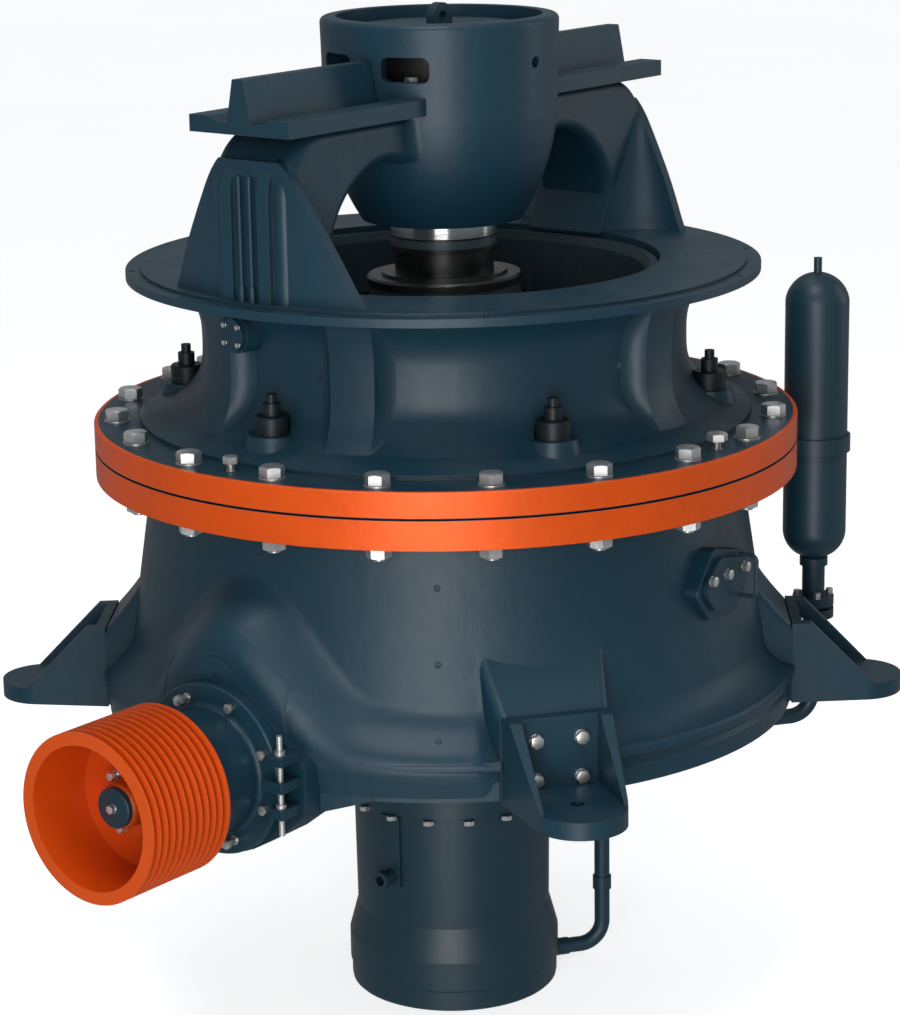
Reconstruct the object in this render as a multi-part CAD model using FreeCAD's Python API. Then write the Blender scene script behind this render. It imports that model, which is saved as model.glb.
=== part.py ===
import FreeCAD, Part
import math
import os
from FreeCAD import Placement, Rotation, Vector

# Cone crusher, in millimetres. Z is the machine axis and z = 0 is the foundation under the four
# feet. The drive pulley points along -Y and the two spider arms lie along -Y and +Y.
# An azimuth is in degrees, from -Y towards +X.

# Fits
seat_clearance = 0.3
running_clearance = 0.5
edge_break = 4.0
QUARTER = 0.2071

# Main flange pair, where the top shell sits on the bottom shell
flange_radius = 1000.0
flange_seam = 774.0
lower_flange = 83.0
upper_flange = 72.0
seam_depth = 14.0
seam_width = 5.0
flange_bolt_count = 20
flange_bolt_first = 9.0
flange_bolt_circle = 935.0
flange_bolt_hole = 22.0
jack_bolt_count = 4
jack_bolt_circle = 920.0
jack_bolt_hole = 12.0
collar_radius = 870.0
collar_step = 12.0

# Top shell: neck, feed flange and wall
neck_radius = 686.0
neck_waist = 1074.0
neck_foot_rise = 28.0
neck_foot_radius = 790.0
neck_top_radius = 768.0
neck_wall = 62.0
feed_flange_radius = 894.0
feed_flange_top = 1281.0
feed_flange_thickness = 31.0
feed_rim_radius = 853.0
feed_rim_step = 8.0
feed_opening_radius = 612.0
feed_bolt_count = 12
feed_bolt_circle = 874.0
feed_bolt_hole = 9.0
seat_drop = 131.0
seat_foot_rise = 20.0
seat_foot_radius = 790.0
liner_bore = 796.0
pilaster_angles = (-18.5, 18.5, 90.0, 161.5, 198.5, 270.0)
pilaster_half_width = 62.0
pilaster_spread = 124.0
pilaster_depth = 46.0
stud_count = 6
stud_circle = 752.0
stud_base = 914.0
stud_boss_radius = 66.0
stud_boss_height = 60.0
stud_boss_spread = 14.0
stud_spot = 50.0
stud_knob_radius = 46.0
stud_knob_height = 50.0
stud_nut_radius = 24.0
stud_nut_height = 34.0
stud_radius = 14.0
stud_height = 108.0

# Spider: hub, two arms and their legs
hub_radius = 326.0
hub_flare = 6.0
hub_rim = 16.0
hub_top = 1961.0
hub_bottom = 1396.0
hub_foot_radius = 226.0
hub_shoulder = 1689.0
hub_recess_radius = 287.0
hub_deck = 1742.0
hub_bore = 185.0
hub_mouth = 172.0
hub_mouth_depth = 16.0
window_height = 69.0
window_width = 136.0
window_corner = 22.0
window_level = 1839.0
window_angles = (-21.0, 21.0, 159.0, 201.0)
side_hole = 16.0
side_hole_level = 1845.0
arm_half_width = 132.0
arm_top = 1719.0
arm_round = 30.0
arm_root_round = 40.0
leg_radius = 822.0
leg_face = 838.0
leg_shoulder = 170.0
leg_rise = 331.0
leg_spread = 322.0
leg_tip = 30.0
leg_strip_half_width = 84.0
leg_channel_width = 90.0
leg_channel_depth = 14.0
arch_foot = 640.0
arch_top = 1592.0

# Arm shields
shield_half_width = 172.0
shield_reach = 845.0
shield_thickness = 45.0
trough_depth = 15.0
trough_half_width = 101.0
trough_floor = 78.0
fin_height = 98.0
fin_base = 41.0
fin_crest = 19.0

# Bottom shell
bead_radius = 1003.0
bead_level = 98.0
bead_lip = 14.0
bead_blend = 210.0
skirt_radius = 990.0
skirt_bottom = 7.0
skirt_wall = 56.0
shell_top_radius = 842.0
shell_foot_radius = 926.0
shell_foot_level = 140.0
shell_wall = 46.0
hub_case_radius = 420.0
hub_case_top = 520.0
hub_case_shoulder = 300.0
hub_case_top_radius = 310.0
hub_case_bottom = -80.0
gear_chamber_radius = 380.0
gear_chamber_top = 275.0
shell_arm_width = 120.0
shell_arm_low = 40.0
shell_arm_top = 360.0
hood_peak = 470.0
hood_slope_foot = 370.0
hood_slope_radius = 900.0
hood_low = 112.0
hood_half_width = 430.0
hood_round = 34.0
small_hole = 11.0

# Feet, on a rectangular pattern
foot_angle = 54.0
foot_azimuths = (foot_angle, 180 - foot_angle, 180 + foot_angle, 360 - foot_angle)
foot_seat = 985.0
foot_hole_radius = 1167.0
foot_hole = 19.0
foot_tip_radius = 123.0
foot_tip_centre = 1190.0
foot_half_width = 146.0
foot_base = 48.0
foot_rib = 38.0
foot_rib_top = 236.0
foot_rib_crest = 55.0
foot_rib_foot = 58.0
foot_back = 30.0
bracket_half_width = 150.0
bracket_spread = 38.0
bracket_front = 232.0
bracket_back = 540.0
bracket_depth = 185.0
bracket_round = 24.0

# Pinion shaft, its housing and the grooved pulley
pinion_height = 53.0
boss_face = 1007.0
boss_radius = 240.0
front_half_width = 300.0
front_shoulder = 104.0
front_peak = 354.0
front_low = -30.0
front_round = 26.0
housing_flange_radius = 236.0
housing_flange = 34.0
housing_slot_circle = 200.0
housing_slot_half_width = 14.0
housing_slot_count = 8
housing_slot_first = 22.5
housing_barrel = 172.0
housing_barrel_round = 16.0
housing_barrel_end = 1204.0
housing_spigot = 165.0
housing_spigot_end = 440.0
housing_nose = 125.0
housing_nose_end = 402.0
tunnel_radius = 215.0
pinion_shaft_radius = 55.0
pulley_inner_face = 1219.0
pulley_width = 291.0
pulley_radius = 229.0
pulley_bore_radius = 194.0
pulley_bore_draft = 6.0
pulley_groove_count = 11
pulley_groove_pitch = 25.5
pulley_groove_depth = 20.0
pulley_groove_floor = 7.5
pulley_land = 4.0
pulley_web_face = 1324.0
pulley_web = 42.0
pulley_hub_radius = 98.0
pulley_hub_face = 1344.0
pulley_hub_back = 1237.0
lock_ring_radius = 62.0
end_cap_radius = 52.0
end_cap_face = 1372.0
end_cap_thickness = 18.0
pinion_start = 265.0
pinion_radius = 110.0
pinion_length = 105.0
screw_offset = 264.0
screw_out = 55.0
screw_low = -72.0
screw_high = 203.0
screw_radius = 8.0
screw_nut_radius = 14.0
screw_nut_height = 12.0
screw_lug_spread = 73.0
screw_lug_level = 64.0
screw_lug_height = 26.0
screw_lug_edge = 22.0

# Crushing chamber
concave_lip = 1264.0
concave_lip_radius = 585.0
concave_lip_edge = 14.0
concave_throat_radius = 572.0
concave_throat_top = 1240.0
concave_throat = 1090.0
concave_knee_radius = 640.0
concave_knee = 900.0
concave_belly_radius = 722.0
concave_belly = 760.0
concave_bottom = 655.0
concave_foot_radius = 770.0
concave_foot_top = 700.0
liner_gap = 4.0
mantle_bottom = 640.0
mantle_radius = 722.0
mantle_shoulder = 1180.0
mantle_shoulder_radius = 216.0
mantle_edge = 15.0
head_top = 1213.0
head_radius = 652.0
head_neck_radius = 196.0
head_neck_level = 1170.0
head_edge = 15.0
head_hollow_radius = 560.0
head_boss_radius = 400.0
head_boss_bottom = 700.0
head_bore_bottom = 715.0
head_bottom = 645.0
head_nut_radius = 220.0
head_nut_rim = 6.0
head_nut_height = 25.0
head_collar_radius = 178.0
head_collar_height = 8.0

# Main shaft: it leans about the middle of the spider bushing and rides in the eccentric
lean_degrees = 0.75
pivot_height = 1560.0
shaft_top = 1712.0
shaft_radius = 140.0
shaft_core_radius = 190.0
shaft_core_top = 1120.0
shaft_core_bottom = 700.0
shaft_taper = 60.0
shaft_core_draft = 5.0
journal_top = 620.0
sleeve_radius = 151.0
sleeve_bottom = 1310.0
journal_radius = 125.0
journal_bottom = -150.0
dish_radius = 780.0
dish_depth = 5.0
washer_radius = 120.0
bushing_half_height = 140.0
eccentric_radius = 214.0
eccentric_foot_radius = 245.0
eccentric_bottom = -40.0
eccentric_top = 512.0
outer_bushing_wall = 18.0
gear_radius = 355.0
gear_bottom = 195.0
gear_top = 262.0
gear_rim = 12.0

# Hydraulic cylinder under the bottom shell
case_neck_radius = 295.0
case_neck_bottom = -299.0
case_flange = 40.0
case_flange_draft = 30.0
case_edge = 10.0
cylinder_radius = 288.0
cylinder_waist = 284.0
cylinder_waist_level = -639.0
cylinder_belly = 310.0
cylinder_belly_level = -734.0
cylinder_step_level = -820.0
cylinder_step = 6.0
cylinder_foot = 305.5
cylinder_bottom = -868.0
cylinder_lid = 18.0
cylinder_lid_spigot = 14.0
cylinder_bore = 215.0
piston_height = 530.0
piston_top = -185.0
piston_neck_radius = 170.0
piston_neck = 100.0
piston_chamfer = 20.0
spider_cap_radius = 280.0
cap_flange = 36.0
cap_bell_radius = 236.0
cap_bore = 168.0
cap_ceiling = 1800.0
cap_top = 1932.0
cap_round = 12.0
lug_half_width = 42.0
lug_crown = 1993.0
lug_shoulder = 1950.0
lug_thickness = 26.0
lug_hole = 17.0
lug_hole_level = 1953.0

# Accumulator beside the machine
bottle_angle = 144.2
bottle_circle = 1145.0
bottle_radius = 94.0
bottle_bottom = 301.0
bottle_top = 1162.0
bottle_dome = 81.0
bottle_flat = 34.0
bottle_stem_top = 1206.0
bottle_stem_radius = 12.0
clamp_bottom = 628.0
clamp_top = 676.0
clamp_wall = 9.0
clamp_arm_width = 80.0
clamp_arm_thickness = 15.0
clamp_web = 16.0
clamp_root = 930.0
valve_neck_radius = 34.0
valve_collar_radius = 42.0
valve_collar_height = 24.0
valve_flange_radius = 62.0
valve_flange_top = 178.0
valve_flange_thickness = 28.0
valve_flange_gap = 10.0
valve_foot_radius = 40.0
valve_bottom = 84.0
pipe_radius = 23.0
pipe_drop_radius = 468.0
pipe_level = -201.0
pipe_port_level = -853.0
pipe_bend = 70.0
coupling_level = -660.0
coupling_half = 20.0
coupling_wall = 5.0
port_radius = 26.0
port_reach = 52.0

# Small fittings
oil_port_level = -490.0
oil_port_radius = 22.0
oil_port_bore = 15.0
oil_port_reach = 345.0
oil_port_depth = 37.0
oil_collar_radius = 27.0
oil_collar_length = 16.0
strap_width = 66.0
strap_thickness = 8.0
strap_top = 305.0
strap_drop = 30.0
cover_angle = 93.5
cover_level = 463.0
cover_width = 236.0
cover_height = 150.0
cover_pad_border = 24.0
cover_boss = 905.0
cover_thickness = 14.0
cover_corner = 42.0
handle_radius = 6.0
handle_half = 58.0
handle_reach = 62.0
handle_offset = 82.0
handle_bend = 16.0
neck_cover_angle = -10.5
neck_cover_face = 748.0
neck_cover_level = 1165.0
neck_cover_radius = 45.0
neck_cover_thickness = 12.0
neck_boss_radius = 52.0
line_radius = 5.5
line_spacing = 36.0
line_length = 330.0
line_fitting_radius = 9.0
line_fitting_length = 42.0


def at(azimuth, radius, height):
    """A point given by azimuth, distance from the machine axis and height."""
    turn = math.radians(azimuth)
    return Vector(radius * math.sin(turn), -radius * math.cos(turn), height)


def face_of(points):
    """A flat face in the XZ plane.

    A point with four numbers ends an arc through its last two, and a list is a smooth curve.
    """
    edges = []
    first = Vector(points[0][0], 0, points[0][1])
    last = first
    for point in points[1:]:
        if isinstance(point, list):
            curve = Part.BSplineCurve()
            curve.interpolate([last] + [Vector(x, 0, z) for x, z in point])
            edges.append(curve.toShape())
            last = Vector(point[-1][0], 0, point[-1][1])
            continue
        end = Vector(point[0], 0, point[1])
        if len(point) == 4:
            edges.append(Part.Arc(last, Vector(point[2], 0, point[3]), end).toShape())
        else:
            edges.append(Part.makeLine(last, end))
        last = end
    if last.distanceToPoint(first) > 1e-6:
        edges.append(Part.makeLine(last, first))
    return Part.Face(Part.Wire(edges))



def arc_to(start, end, sag):
    """End of an arc that bulges to the left of its chord by a share of the chord's length."""
    run = end[0] - start[0]
    rise = end[1] - start[1]
    return (end[0], end[1], (start[0] + end[0]) / 2 - sag * rise, (start[1] + end[1]) / 2 + sag * run)


def turned(points):
    """A solid of revolution about Z from its half section."""
    return face_of(points).revolve(Vector(0, 0, 0), Vector(0, 0, 1), 360)


def slab(points, half_width):
    """An outline in the XZ plane, made thick by half_width on both sides of that plane."""
    solid = face_of(points).extrude(Vector(0, 2 * half_width, 0))
    solid.translate(Vector(0, -half_width, 0))
    return solid


def plate(points, low, high):
    """A polygon in the XY plane, from height low to height high."""
    wire = Part.makePolygon([Vector(x, y, low) for x, y in points + points[:1]])
    return Part.Face(wire).extrude(Vector(0, 0, high - low))


def rod(radius, low, high):
    """An upright cylinder on the Z axis."""
    return Part.makeCylinder(radius, high - low, Vector(0, 0, low))


def spoke(radius, inner, outer, height):
    """A level cylinder towards +X at a height, between two distances from the machine axis."""
    return Part.makeCylinder(radius, outer - inner, Vector(inner, 0, height), Vector(1, 0, 0))


def block(inner, outer, half_width, low, high):
    """A box towards +X between two distances from the machine axis and two heights."""
    box = Part.makeBox(outer - inner, 2 * half_width, high - low)
    box.translate(Vector(inner, -half_width, low))
    return box


def turn_to(shape, azimuth):
    """Turn a shape made towards -Y so that it points to an azimuth."""
    shape.rotate(Vector(0, 0, 0), Vector(0, 0, 1), azimuth)
    return shape


def to_radial(shape, azimuth):
    """Turn a shape made towards +X so that it points to an azimuth."""
    return turn_to(shape, azimuth - 90)


def on_pinion(shape):
    """Lay a shape made about +Z along the pinion axis, with +Z pointing outward."""
    shape.Placement = Placement(Vector(0, 0, pinion_height), Rotation(Vector(1, 0, 0), 90))
    return shape


def ring_of(make, count, first=0.0):
    """Copies of a shape made towards -Y, spread evenly round the machine axis."""
    return [turn_to(make(), first + 360.0 * k / count) for k in range(count)]


def drilled(radius, circle, low, depth, count, first):
    """Cutters for a ring of equal upright holes."""
    return ring_of(lambda: Part.makeCylinder(radius, depth, at(0, circle, low)), count, first)


def leaning(shape):
    """Lean a shape about the pivot in the spider bushing, its lower end towards +X."""
    shape.rotate(Vector(0, 0, pivot_height), Vector(0, 1, 0), -lean_degrees)
    return shape


def rounded(shape, radius, wanted):
    """Round the edges that pass a test on their middle point."""
    edges = []
    for edge in shape.Edges:
        if wanted(edge.valueAt((edge.FirstParameter + edge.LastParameter) / 2)):
            edges.append(edge)
    return shape.makeFillet(radius, edges)


def collar_top():
    """Height of the collar that the neck stands on."""
    return flange_seam + upper_flange + collar_step


def neck_radius_at(height):
    """Outside radius of the neck: waisted, flaring to the collar and to the feed flange."""
    low = collar_top() + neck_foot_rise
    under = feed_flange_top - feed_flange_thickness
    if height < neck_waist:
        share = (neck_waist - height) / (neck_waist - low)
        return neck_radius + (neck_foot_radius - neck_radius) * share ** 3.3
    share = (height - neck_waist) / (under - neck_waist)
    return neck_radius + (neck_top_radius - neck_radius) * share ** 2.6


def neck_levels(count):
    """Heights spread evenly from the foot of the neck to the underside of the feed flange."""
    low = collar_top() + neck_foot_rise
    under = feed_flange_top - feed_flange_thickness
    return [low + (under - low) * k / count for k in range(count + 1)]


def chamber_seat(inset):
    """Inner wall of the top shell from the feed opening down, moved in by inset."""
    points = [(feed_opening_radius, feed_flange_top - seat_drop)]
    for share in (0.89, 0.65, 0.42):
        height = flange_seam + share * (neck_waist - flange_seam)
        points.append((neck_radius_at(height) - neck_wall, height))
    points.append((seat_foot_radius, flange_seam + seat_foot_rise))
    return [(radius - inset, height - inset / 3) for radius, height in points]


def shell_section():
    """Half section of the top shell with its two flanges."""
    flange_top = flange_seam + upper_flange
    under = feed_flange_top - feed_flange_thickness
    levels = neck_levels(12)
    return [
        (seat_foot_radius + seam_depth, flange_seam),
        (flange_radius - seam_depth, flange_seam),
        (flange_radius - seam_depth, flange_seam + seam_width / 2),
        (flange_radius, flange_seam + seam_width / 2),
        (flange_radius, flange_top - edge_break),
        (flange_radius - edge_break, flange_top),
        (collar_radius, flange_top),
        (collar_radius, collar_top()),
        (neck_radius_at(levels[0]), levels[0]),
        [(neck_radius_at(level), level) for level in levels[1:]],
        (feed_flange_radius, under),
        (feed_flange_radius, feed_flange_top - feed_rim_step),
        (feed_rim_radius, feed_flange_top - feed_rim_step),
        (feed_rim_radius, feed_flange_top),
        (feed_opening_radius, feed_flange_top),
    ] + chamber_seat(0)


def pilaster_outline(height):
    """Level outline of a pilaster towards +X, with hollow flanks that run out on the neck."""
    radius = neck_radius_at(height)
    face = neck_radius + pilaster_depth + 0.5 * (radius - neck_radius)
    root = math.sqrt(radius ** 2 - pilaster_spread ** 2) - edge_break
    right = Vector(face, pilaster_half_width, height)
    left = Vector(face, -pilaster_half_width, height)
    right_root = Vector(root, pilaster_spread, height)
    left_root = Vector(root, -pilaster_spread, height)
    bend_x = root + 0.38 * (face - root)
    bend_y = pilaster_half_width + 0.34 * (pilaster_spread - pilaster_half_width)
    back = radius - neck_wall / 2
    return Part.Wire([
        Part.Arc(left, Vector(face + edge_break, 0, height), right).toShape(),
        Part.Arc(right, Vector(bend_x, bend_y, height), right_root).toShape(),
        Part.makeLine(right_root, Vector(back, pilaster_spread, height)),
        Part.makeLine(Vector(back, pilaster_spread, height), Vector(back, -pilaster_spread, height)),
        Part.makeLine(Vector(back, -pilaster_spread, height), left_root),
        Part.Arc(left_root, Vector(bend_x, -bend_y, height), left).toShape(),
    ])


def pilaster():
    """Rounded upright rib that stiffens the neck, towards +X."""
    levels = neck_levels(8)
    levels[-1] += edge_break
    return Part.makeLoft([pilaster_outline(level) for level in levels], True, False)


def hub_section():
    """Half section of the spider hub with its bore and cap recess."""
    foot = (hub_foot_radius, hub_bottom)
    rim = (hub_radius + hub_flare, hub_top - hub_rim)
    return [
        (hub_mouth, hub_bottom),
        foot,
        arc_to(foot, (hub_radius, hub_shoulder), -0.06),
        rim,
        arc_to(rim, (hub_radius + hub_flare - hub_rim, hub_top), -QUARTER),
        (hub_recess_radius, hub_top),
        (hub_recess_radius, hub_deck),
        (hub_bore, hub_deck),
        (hub_bore, hub_bottom + hub_mouth_depth),
        (hub_mouth, hub_bottom + hub_mouth_depth),
    ]


def shoulder(reach):
    """Points of the rounded shoulder from the arm's top down to the leg's outer face."""
    start = leg_face - leg_shoulder
    points = []
    for k in range(1, 7):
        turn = math.pi / 12 * k
        drop = leg_shoulder * (1 - math.cos(turn))
        points.append((start + (reach - start) * math.sin(turn), arm_top - drop))
    return points


def arm_web():
    """The arm's deep web towards +X: level on top, arched below, rounded over the leg."""
    span = arch_foot - hub_radius
    rise = arch_top - feed_flange_top
    web = slab([
        (hub_bore + edge_break, arch_top),
        (hub_bore + edge_break, arm_top),
        (leg_face - leg_shoulder, arm_top),
        shoulder(leg_radius),
        (leg_radius, feed_flange_top),
        (arch_foot, feed_flange_top),
        [
            (arch_foot - 0.025 * span, feed_flange_top + 0.385 * rise),
            (arch_foot - 0.127 * span, feed_flange_top + 0.644 * rise),
            (arch_foot - 0.43 * span, feed_flange_top + 0.942 * rise),
            (hub_radius, arch_top),
        ],
    ], arm_half_width)
    return rounded(web, arm_round, lambda p: abs(abs(p.y) - arm_half_width) < 1
                   and p.x > hub_radius and (p.z > arm_top - leg_shoulder or p.x < arch_foot - 1))


def leg_outline(height, spread):
    """Level outline of the leg: round outside, thin tips and hollow flanks into the web."""
    tip_reach = math.sqrt(leg_radius ** 2 - spread ** 2)
    inner = tip_reach - leg_tip
    root = arm_half_width - edge_break
    depth = 0.6 * (spread - root) + leg_tip
    low = Vector(inner - depth, -root, height)
    high = Vector(inner - depth, root, height)
    bend = Vector(inner - 0.29 * depth, spread - 0.71 * (spread - root), height)
    return Part.Wire([
        Part.Arc(Vector(tip_reach, -spread, height), Vector(leg_radius, 0, height),
                 Vector(tip_reach, spread, height)).toShape(),
        Part.makeLine(Vector(tip_reach, spread, height), Vector(inner, spread, height)),
        Part.Arc(Vector(inner, spread, height), bend, high).toShape(),
        Part.makeLine(high, low),
        Part.Arc(low, Vector(bend.x, -bend.y, height), Vector(inner, -spread, height)).toShape(),
        Part.makeLine(Vector(inner, -spread, height), Vector(tip_reach, -spread, height)),
    ])


def spider_arm():
    """One arm with its flared leg and the raised strip that carries the grease lines."""
    outlines = [leg_outline(feed_flange_top - edge_break, leg_spread)]
    narrow = arm_half_width - arm_round
    for rise, share in ((0.205, 0.823), (0.508, 0.591), (0.764, 0.373), (1.0, 0.159), (1.12, 0.0)):
        spread = narrow + share * (leg_spread - narrow)
        outlines.append(leg_outline(feed_flange_top + rise * leg_rise, spread))
    leg = Part.makeLoft(outlines, True, False)
    back = leg_radius - leg_tip
    start = leg_face - leg_shoulder
    knee = (leg_face, arm_top - leg_shoulder)
    strip = slab([
        (back, feed_flange_top),
        (leg_face, feed_flange_top),
        knee,
        arc_to(knee, (start, arm_top - edge_break), -QUARTER),
        (start, knee[1]),
        (back, knee[1]),
    ], leg_strip_half_width)
    floor = leg_face - leg_channel_depth
    channel = block(floor, leg_face + 1, leg_channel_width / 2, feed_flange_top, arm_top)
    above = block(0, 2 * leg_face, arm_half_width + edge_break, arm_top, 2 * arm_top)
    return arm_web().fuse([leg, strip]).cut([channel, above])


def hub_radius_at(height):
    """Outside radius of the hub above its shoulder."""
    return hub_radius + hub_flare * (height - hub_shoulder) / (hub_top - hub_rim - hub_shoulder)


def shield_seat():
    """Cutter that keeps the hub's rounded root from rising above the arms, where the shields lie."""
    reach = hub_radius + 3 * arm_root_round
    high = arm_top + 2 * arm_root_round
    return turned([
        (hub_radius_at(arm_top), arm_top),
        (reach, arm_top),
        (reach, high),
        (hub_radius_at(high), high),
    ])


def hub_window():
    """Cutter for a window in the wall of the hub, with rounded corners, towards +X."""
    window = block(hub_recess_radius - hub_rim, hub_radius + 3 * hub_rim, window_width / 2,
                   window_level - window_height / 2, window_level + window_height / 2)
    edges = [edge for edge in window.Edges if abs(edge.tangentAt(edge.FirstParameter).x) > 0.9]
    return window.makeFillet(window_corner, edges)


def stud_boss():
    """Round boss on the neck that a clamp stud stands on, towards -Y."""
    low = stud_base - stud_boss_height
    return Part.makeCone(stud_boss_radius + stud_boss_spread, stud_boss_radius, stud_boss_height,
                         at(0, stud_circle, low))


def topshell():
    """Top shell casting: neck, both flanges, pilasters, two spider arms and the hub."""
    bosses = [to_radial(pilaster(), azimuth) for azimuth in pilaster_angles]
    bosses += ring_of(stud_boss, stud_count)
    neck_boss = spoke(neck_boss_radius, neck_radius - neck_wall, neck_cover_face, neck_cover_level)
    bosses.append(to_radial(neck_boss, neck_cover_angle))
    inner = turned([(0, feed_flange_top), (feed_opening_radius, feed_flange_top)] + chamber_seat(0)
                   + [(seat_foot_radius, flange_seam), (0, flange_seam)])
    body = turned(shell_section()).fuse(bosses).cut(inner)
    inside = rod(hub_recess_radius, hub_deck, hub_top).fuse(rod(hub_bore, hub_bottom, hub_deck))
    arms = [to_radial(spider_arm().cut(inside), azimuth) for azimuth in (0, 180)]
    spider = turned(hub_section()).fuse(arms)
    spider = rounded(spider, arm_root_round, lambda p: abs(abs(p.x) - arm_half_width) < edge_break
                     and abs(p.y) < hub_radius and arch_top < p.z < hub_shoulder)
    spider = spider.cut(shield_seat())
    under = feed_flange_top - feed_flange_thickness
    deep = 2 * upper_flange
    cuts = drilled(flange_bolt_hole, flange_bolt_circle, flange_seam, deep, flange_bolt_count,
                   flange_bolt_first)
    cuts += drilled(jack_bolt_hole, jack_bolt_circle, flange_seam, deep, jack_bolt_count, 0.0)
    cuts += drilled(feed_bolt_hole, feed_bolt_circle, under, feed_flange_thickness, feed_bolt_count,
                    180.0 / feed_bolt_count)
    cuts += drilled(stud_spot, stud_circle, stud_base, 2 * stud_height, stud_count, 0.0)
    cuts += [to_radial(hub_window(), azimuth) for azimuth in window_angles]
    cuts.append(spoke(side_hole, hub_recess_radius - hub_rim, hub_radius + 2 * hub_rim, side_hole_level))
    return body.fuse(spider).cut(cuts).removeSplitter()


def spider_cap():
    """Bell over the shaft top, bolted to the hub deck, with a lifting lug."""
    bell = turned([
        (cap_bore, hub_deck),
        (spider_cap_radius, hub_deck),
        (spider_cap_radius, hub_deck + cap_flange),
        (cap_bell_radius, hub_deck + cap_flange),
        (cap_bell_radius, cap_top - cap_round),
        (cap_bell_radius - cap_round, cap_top),
        (0, cap_top),
        (0, cap_ceiling),
        (cap_bore, cap_ceiling),
    ])
    lug = slab([
        (-lug_half_width, cap_top - edge_break),
        (-lug_half_width, lug_shoulder),
        (lug_half_width, lug_shoulder, 0, lug_crown),
        (lug_half_width, cap_top - edge_break),
    ], lug_thickness / 2)
    start = Vector(0, -lug_thickness, lug_hole_level)
    eye = Part.makeCylinder(lug_hole, 2 * lug_thickness, start, Vector(0, 1, 0))
    return bell.fuse(turn_to(lug.cut(eye), 90)).removeSplitter()


def spider_bushing():
    """Bronze bushing with an hourglass bore that lets the shaft lean."""
    low = pivot_height - bushing_half_height
    high = pivot_height + bushing_half_height
    swing = bushing_half_height * math.tan(math.radians(lean_degrees))
    throat = sleeve_radius + running_clearance
    mouth = throat + swing + seat_clearance
    outside = hub_bore - seat_clearance
    return turned([
        (mouth, low),
        (outside, low),
        (outside, hub_deck - edge_break),
        (mouth, hub_deck - edge_break),
        (mouth, high),
        (mouth, low, throat, pivot_height),
    ])


def arm_shield():
    """Wear casting on an arm, towards +X: a plate with raised edges and a tapering upright fin."""
    low = arm_top
    top = low + shield_thickness
    inner = hub_radius - shield_thickness
    body = block(inner, shield_reach, shield_half_width, low, top)
    trough = face_of([
        (-trough_floor, top - trough_depth),
        (trough_floor, top - trough_depth),
        (trough_half_width, top + 1),
        (-trough_half_width, top + 1),
    ]).extrude(Vector(0, -2 * shield_reach, 0))
    fin = face_of([
        (-fin_base, top - trough_depth),
        (fin_base, top - trough_depth),
        (fin_crest, top + fin_height),
        (-fin_crest, top + fin_height),
    ]).extrude(Vector(0, inner - shield_reach, 0))
    fin.translate(Vector(0, -inner, 0))
    gap = rod(hub_radius + hub_flare + running_clearance, low - 1, hub_top)
    return body.cut(turn_to(trough, 90)).fuse(turn_to(fin, 90)).cut(gap).removeSplitter()


def concave():
    """Manganese liner inside the top shell, with its lip over the feed opening."""
    outside = feed_opening_radius - seat_clearance
    return turned([
        (concave_lip_radius, concave_lip),
        (outside - concave_lip_edge / 2, concave_lip),
        (outside, concave_lip - concave_lip_edge),
    ] + chamber_seat(seat_clearance) + [
        (liner_bore - liner_gap, concave_foot_top),
        (liner_bore - liner_gap, concave_bottom),
        (concave_foot_radius, concave_bottom),
        (concave_belly_radius, concave_belly),
        (concave_knee_radius, concave_knee),
        (concave_throat_radius, concave_throat),
        (concave_throat_radius, concave_throat_top),
    ])


def clamp_stud():
    """Round knob with a nut and the end of its stud, towards -Y."""
    nut_top = stud_knob_height + stud_nut_height
    stud = turned([
        (0, 0),
        (stud_knob_radius, 0),
        (stud_knob_radius, stud_knob_height - edge_break),
        (stud_knob_radius - edge_break, stud_knob_height),
        (stud_nut_radius, stud_knob_height),
        (stud_nut_radius, nut_top),
        (stud_radius, nut_top),
        (stud_radius, stud_height),
        (0, stud_height),
    ])
    stud.translate(at(0, stud_circle, stud_base))
    return stud


def clamp_studs():
    """Six clamp studs standing on the bosses of the top shell."""
    return Part.makeCompound(ring_of(clamp_stud, stud_count))


def shell_radius(height):
    """Outside radius of the bottom shell's tapered wall at a height."""
    top = flange_seam - lower_flange
    share = (height - shell_foot_level) / (top - shell_foot_level)
    return shell_foot_radius + share * (shell_top_radius - shell_foot_radius)


def bottomshell_skin():
    """Half section of the bottom shell's wall, skirt with its bead, and flange."""
    under = flange_seam - lower_flange
    lip = (skirt_radius, bead_level - bead_lip)
    nose = (bead_radius, bead_level)
    crown = (bead_radius, bead_level + bead_lip / 2)
    top = (skirt_radius, bead_level + 1.5 * bead_lip)
    wall = (shell_radius(bead_blend), bead_blend)
    neck = (shell_radius(under - shell_wall), under - shell_wall)
    return [
        (skirt_radius - skirt_wall, skirt_bottom),
        (skirt_radius, skirt_bottom),
        (skirt_radius, lip[1] - 2 * bead_lip),
        (skirt_radius - bead_lip / 2, lip[1] - bead_lip),
        (skirt_radius - bead_lip / 2, lip[1]),
        lip,
        arc_to(lip, nose, -QUARTER),
        crown,
        arc_to(crown, top, -QUARTER),
        arc_to(top, wall, 0.16),
        neck,
        arc_to(neck, (shell_top_radius + shell_wall / 2, under), 0.16),
        (flange_radius, under),
        (flange_radius, flange_seam - seam_width / 2),
        (flange_radius - seam_depth, flange_seam - seam_width / 2),
        (flange_radius - seam_depth, flange_seam),
        (liner_bore, flange_seam),
        (liner_bore, under - shell_wall),
        (shell_foot_radius - shell_wall, shell_foot_level),
    ]


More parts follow.
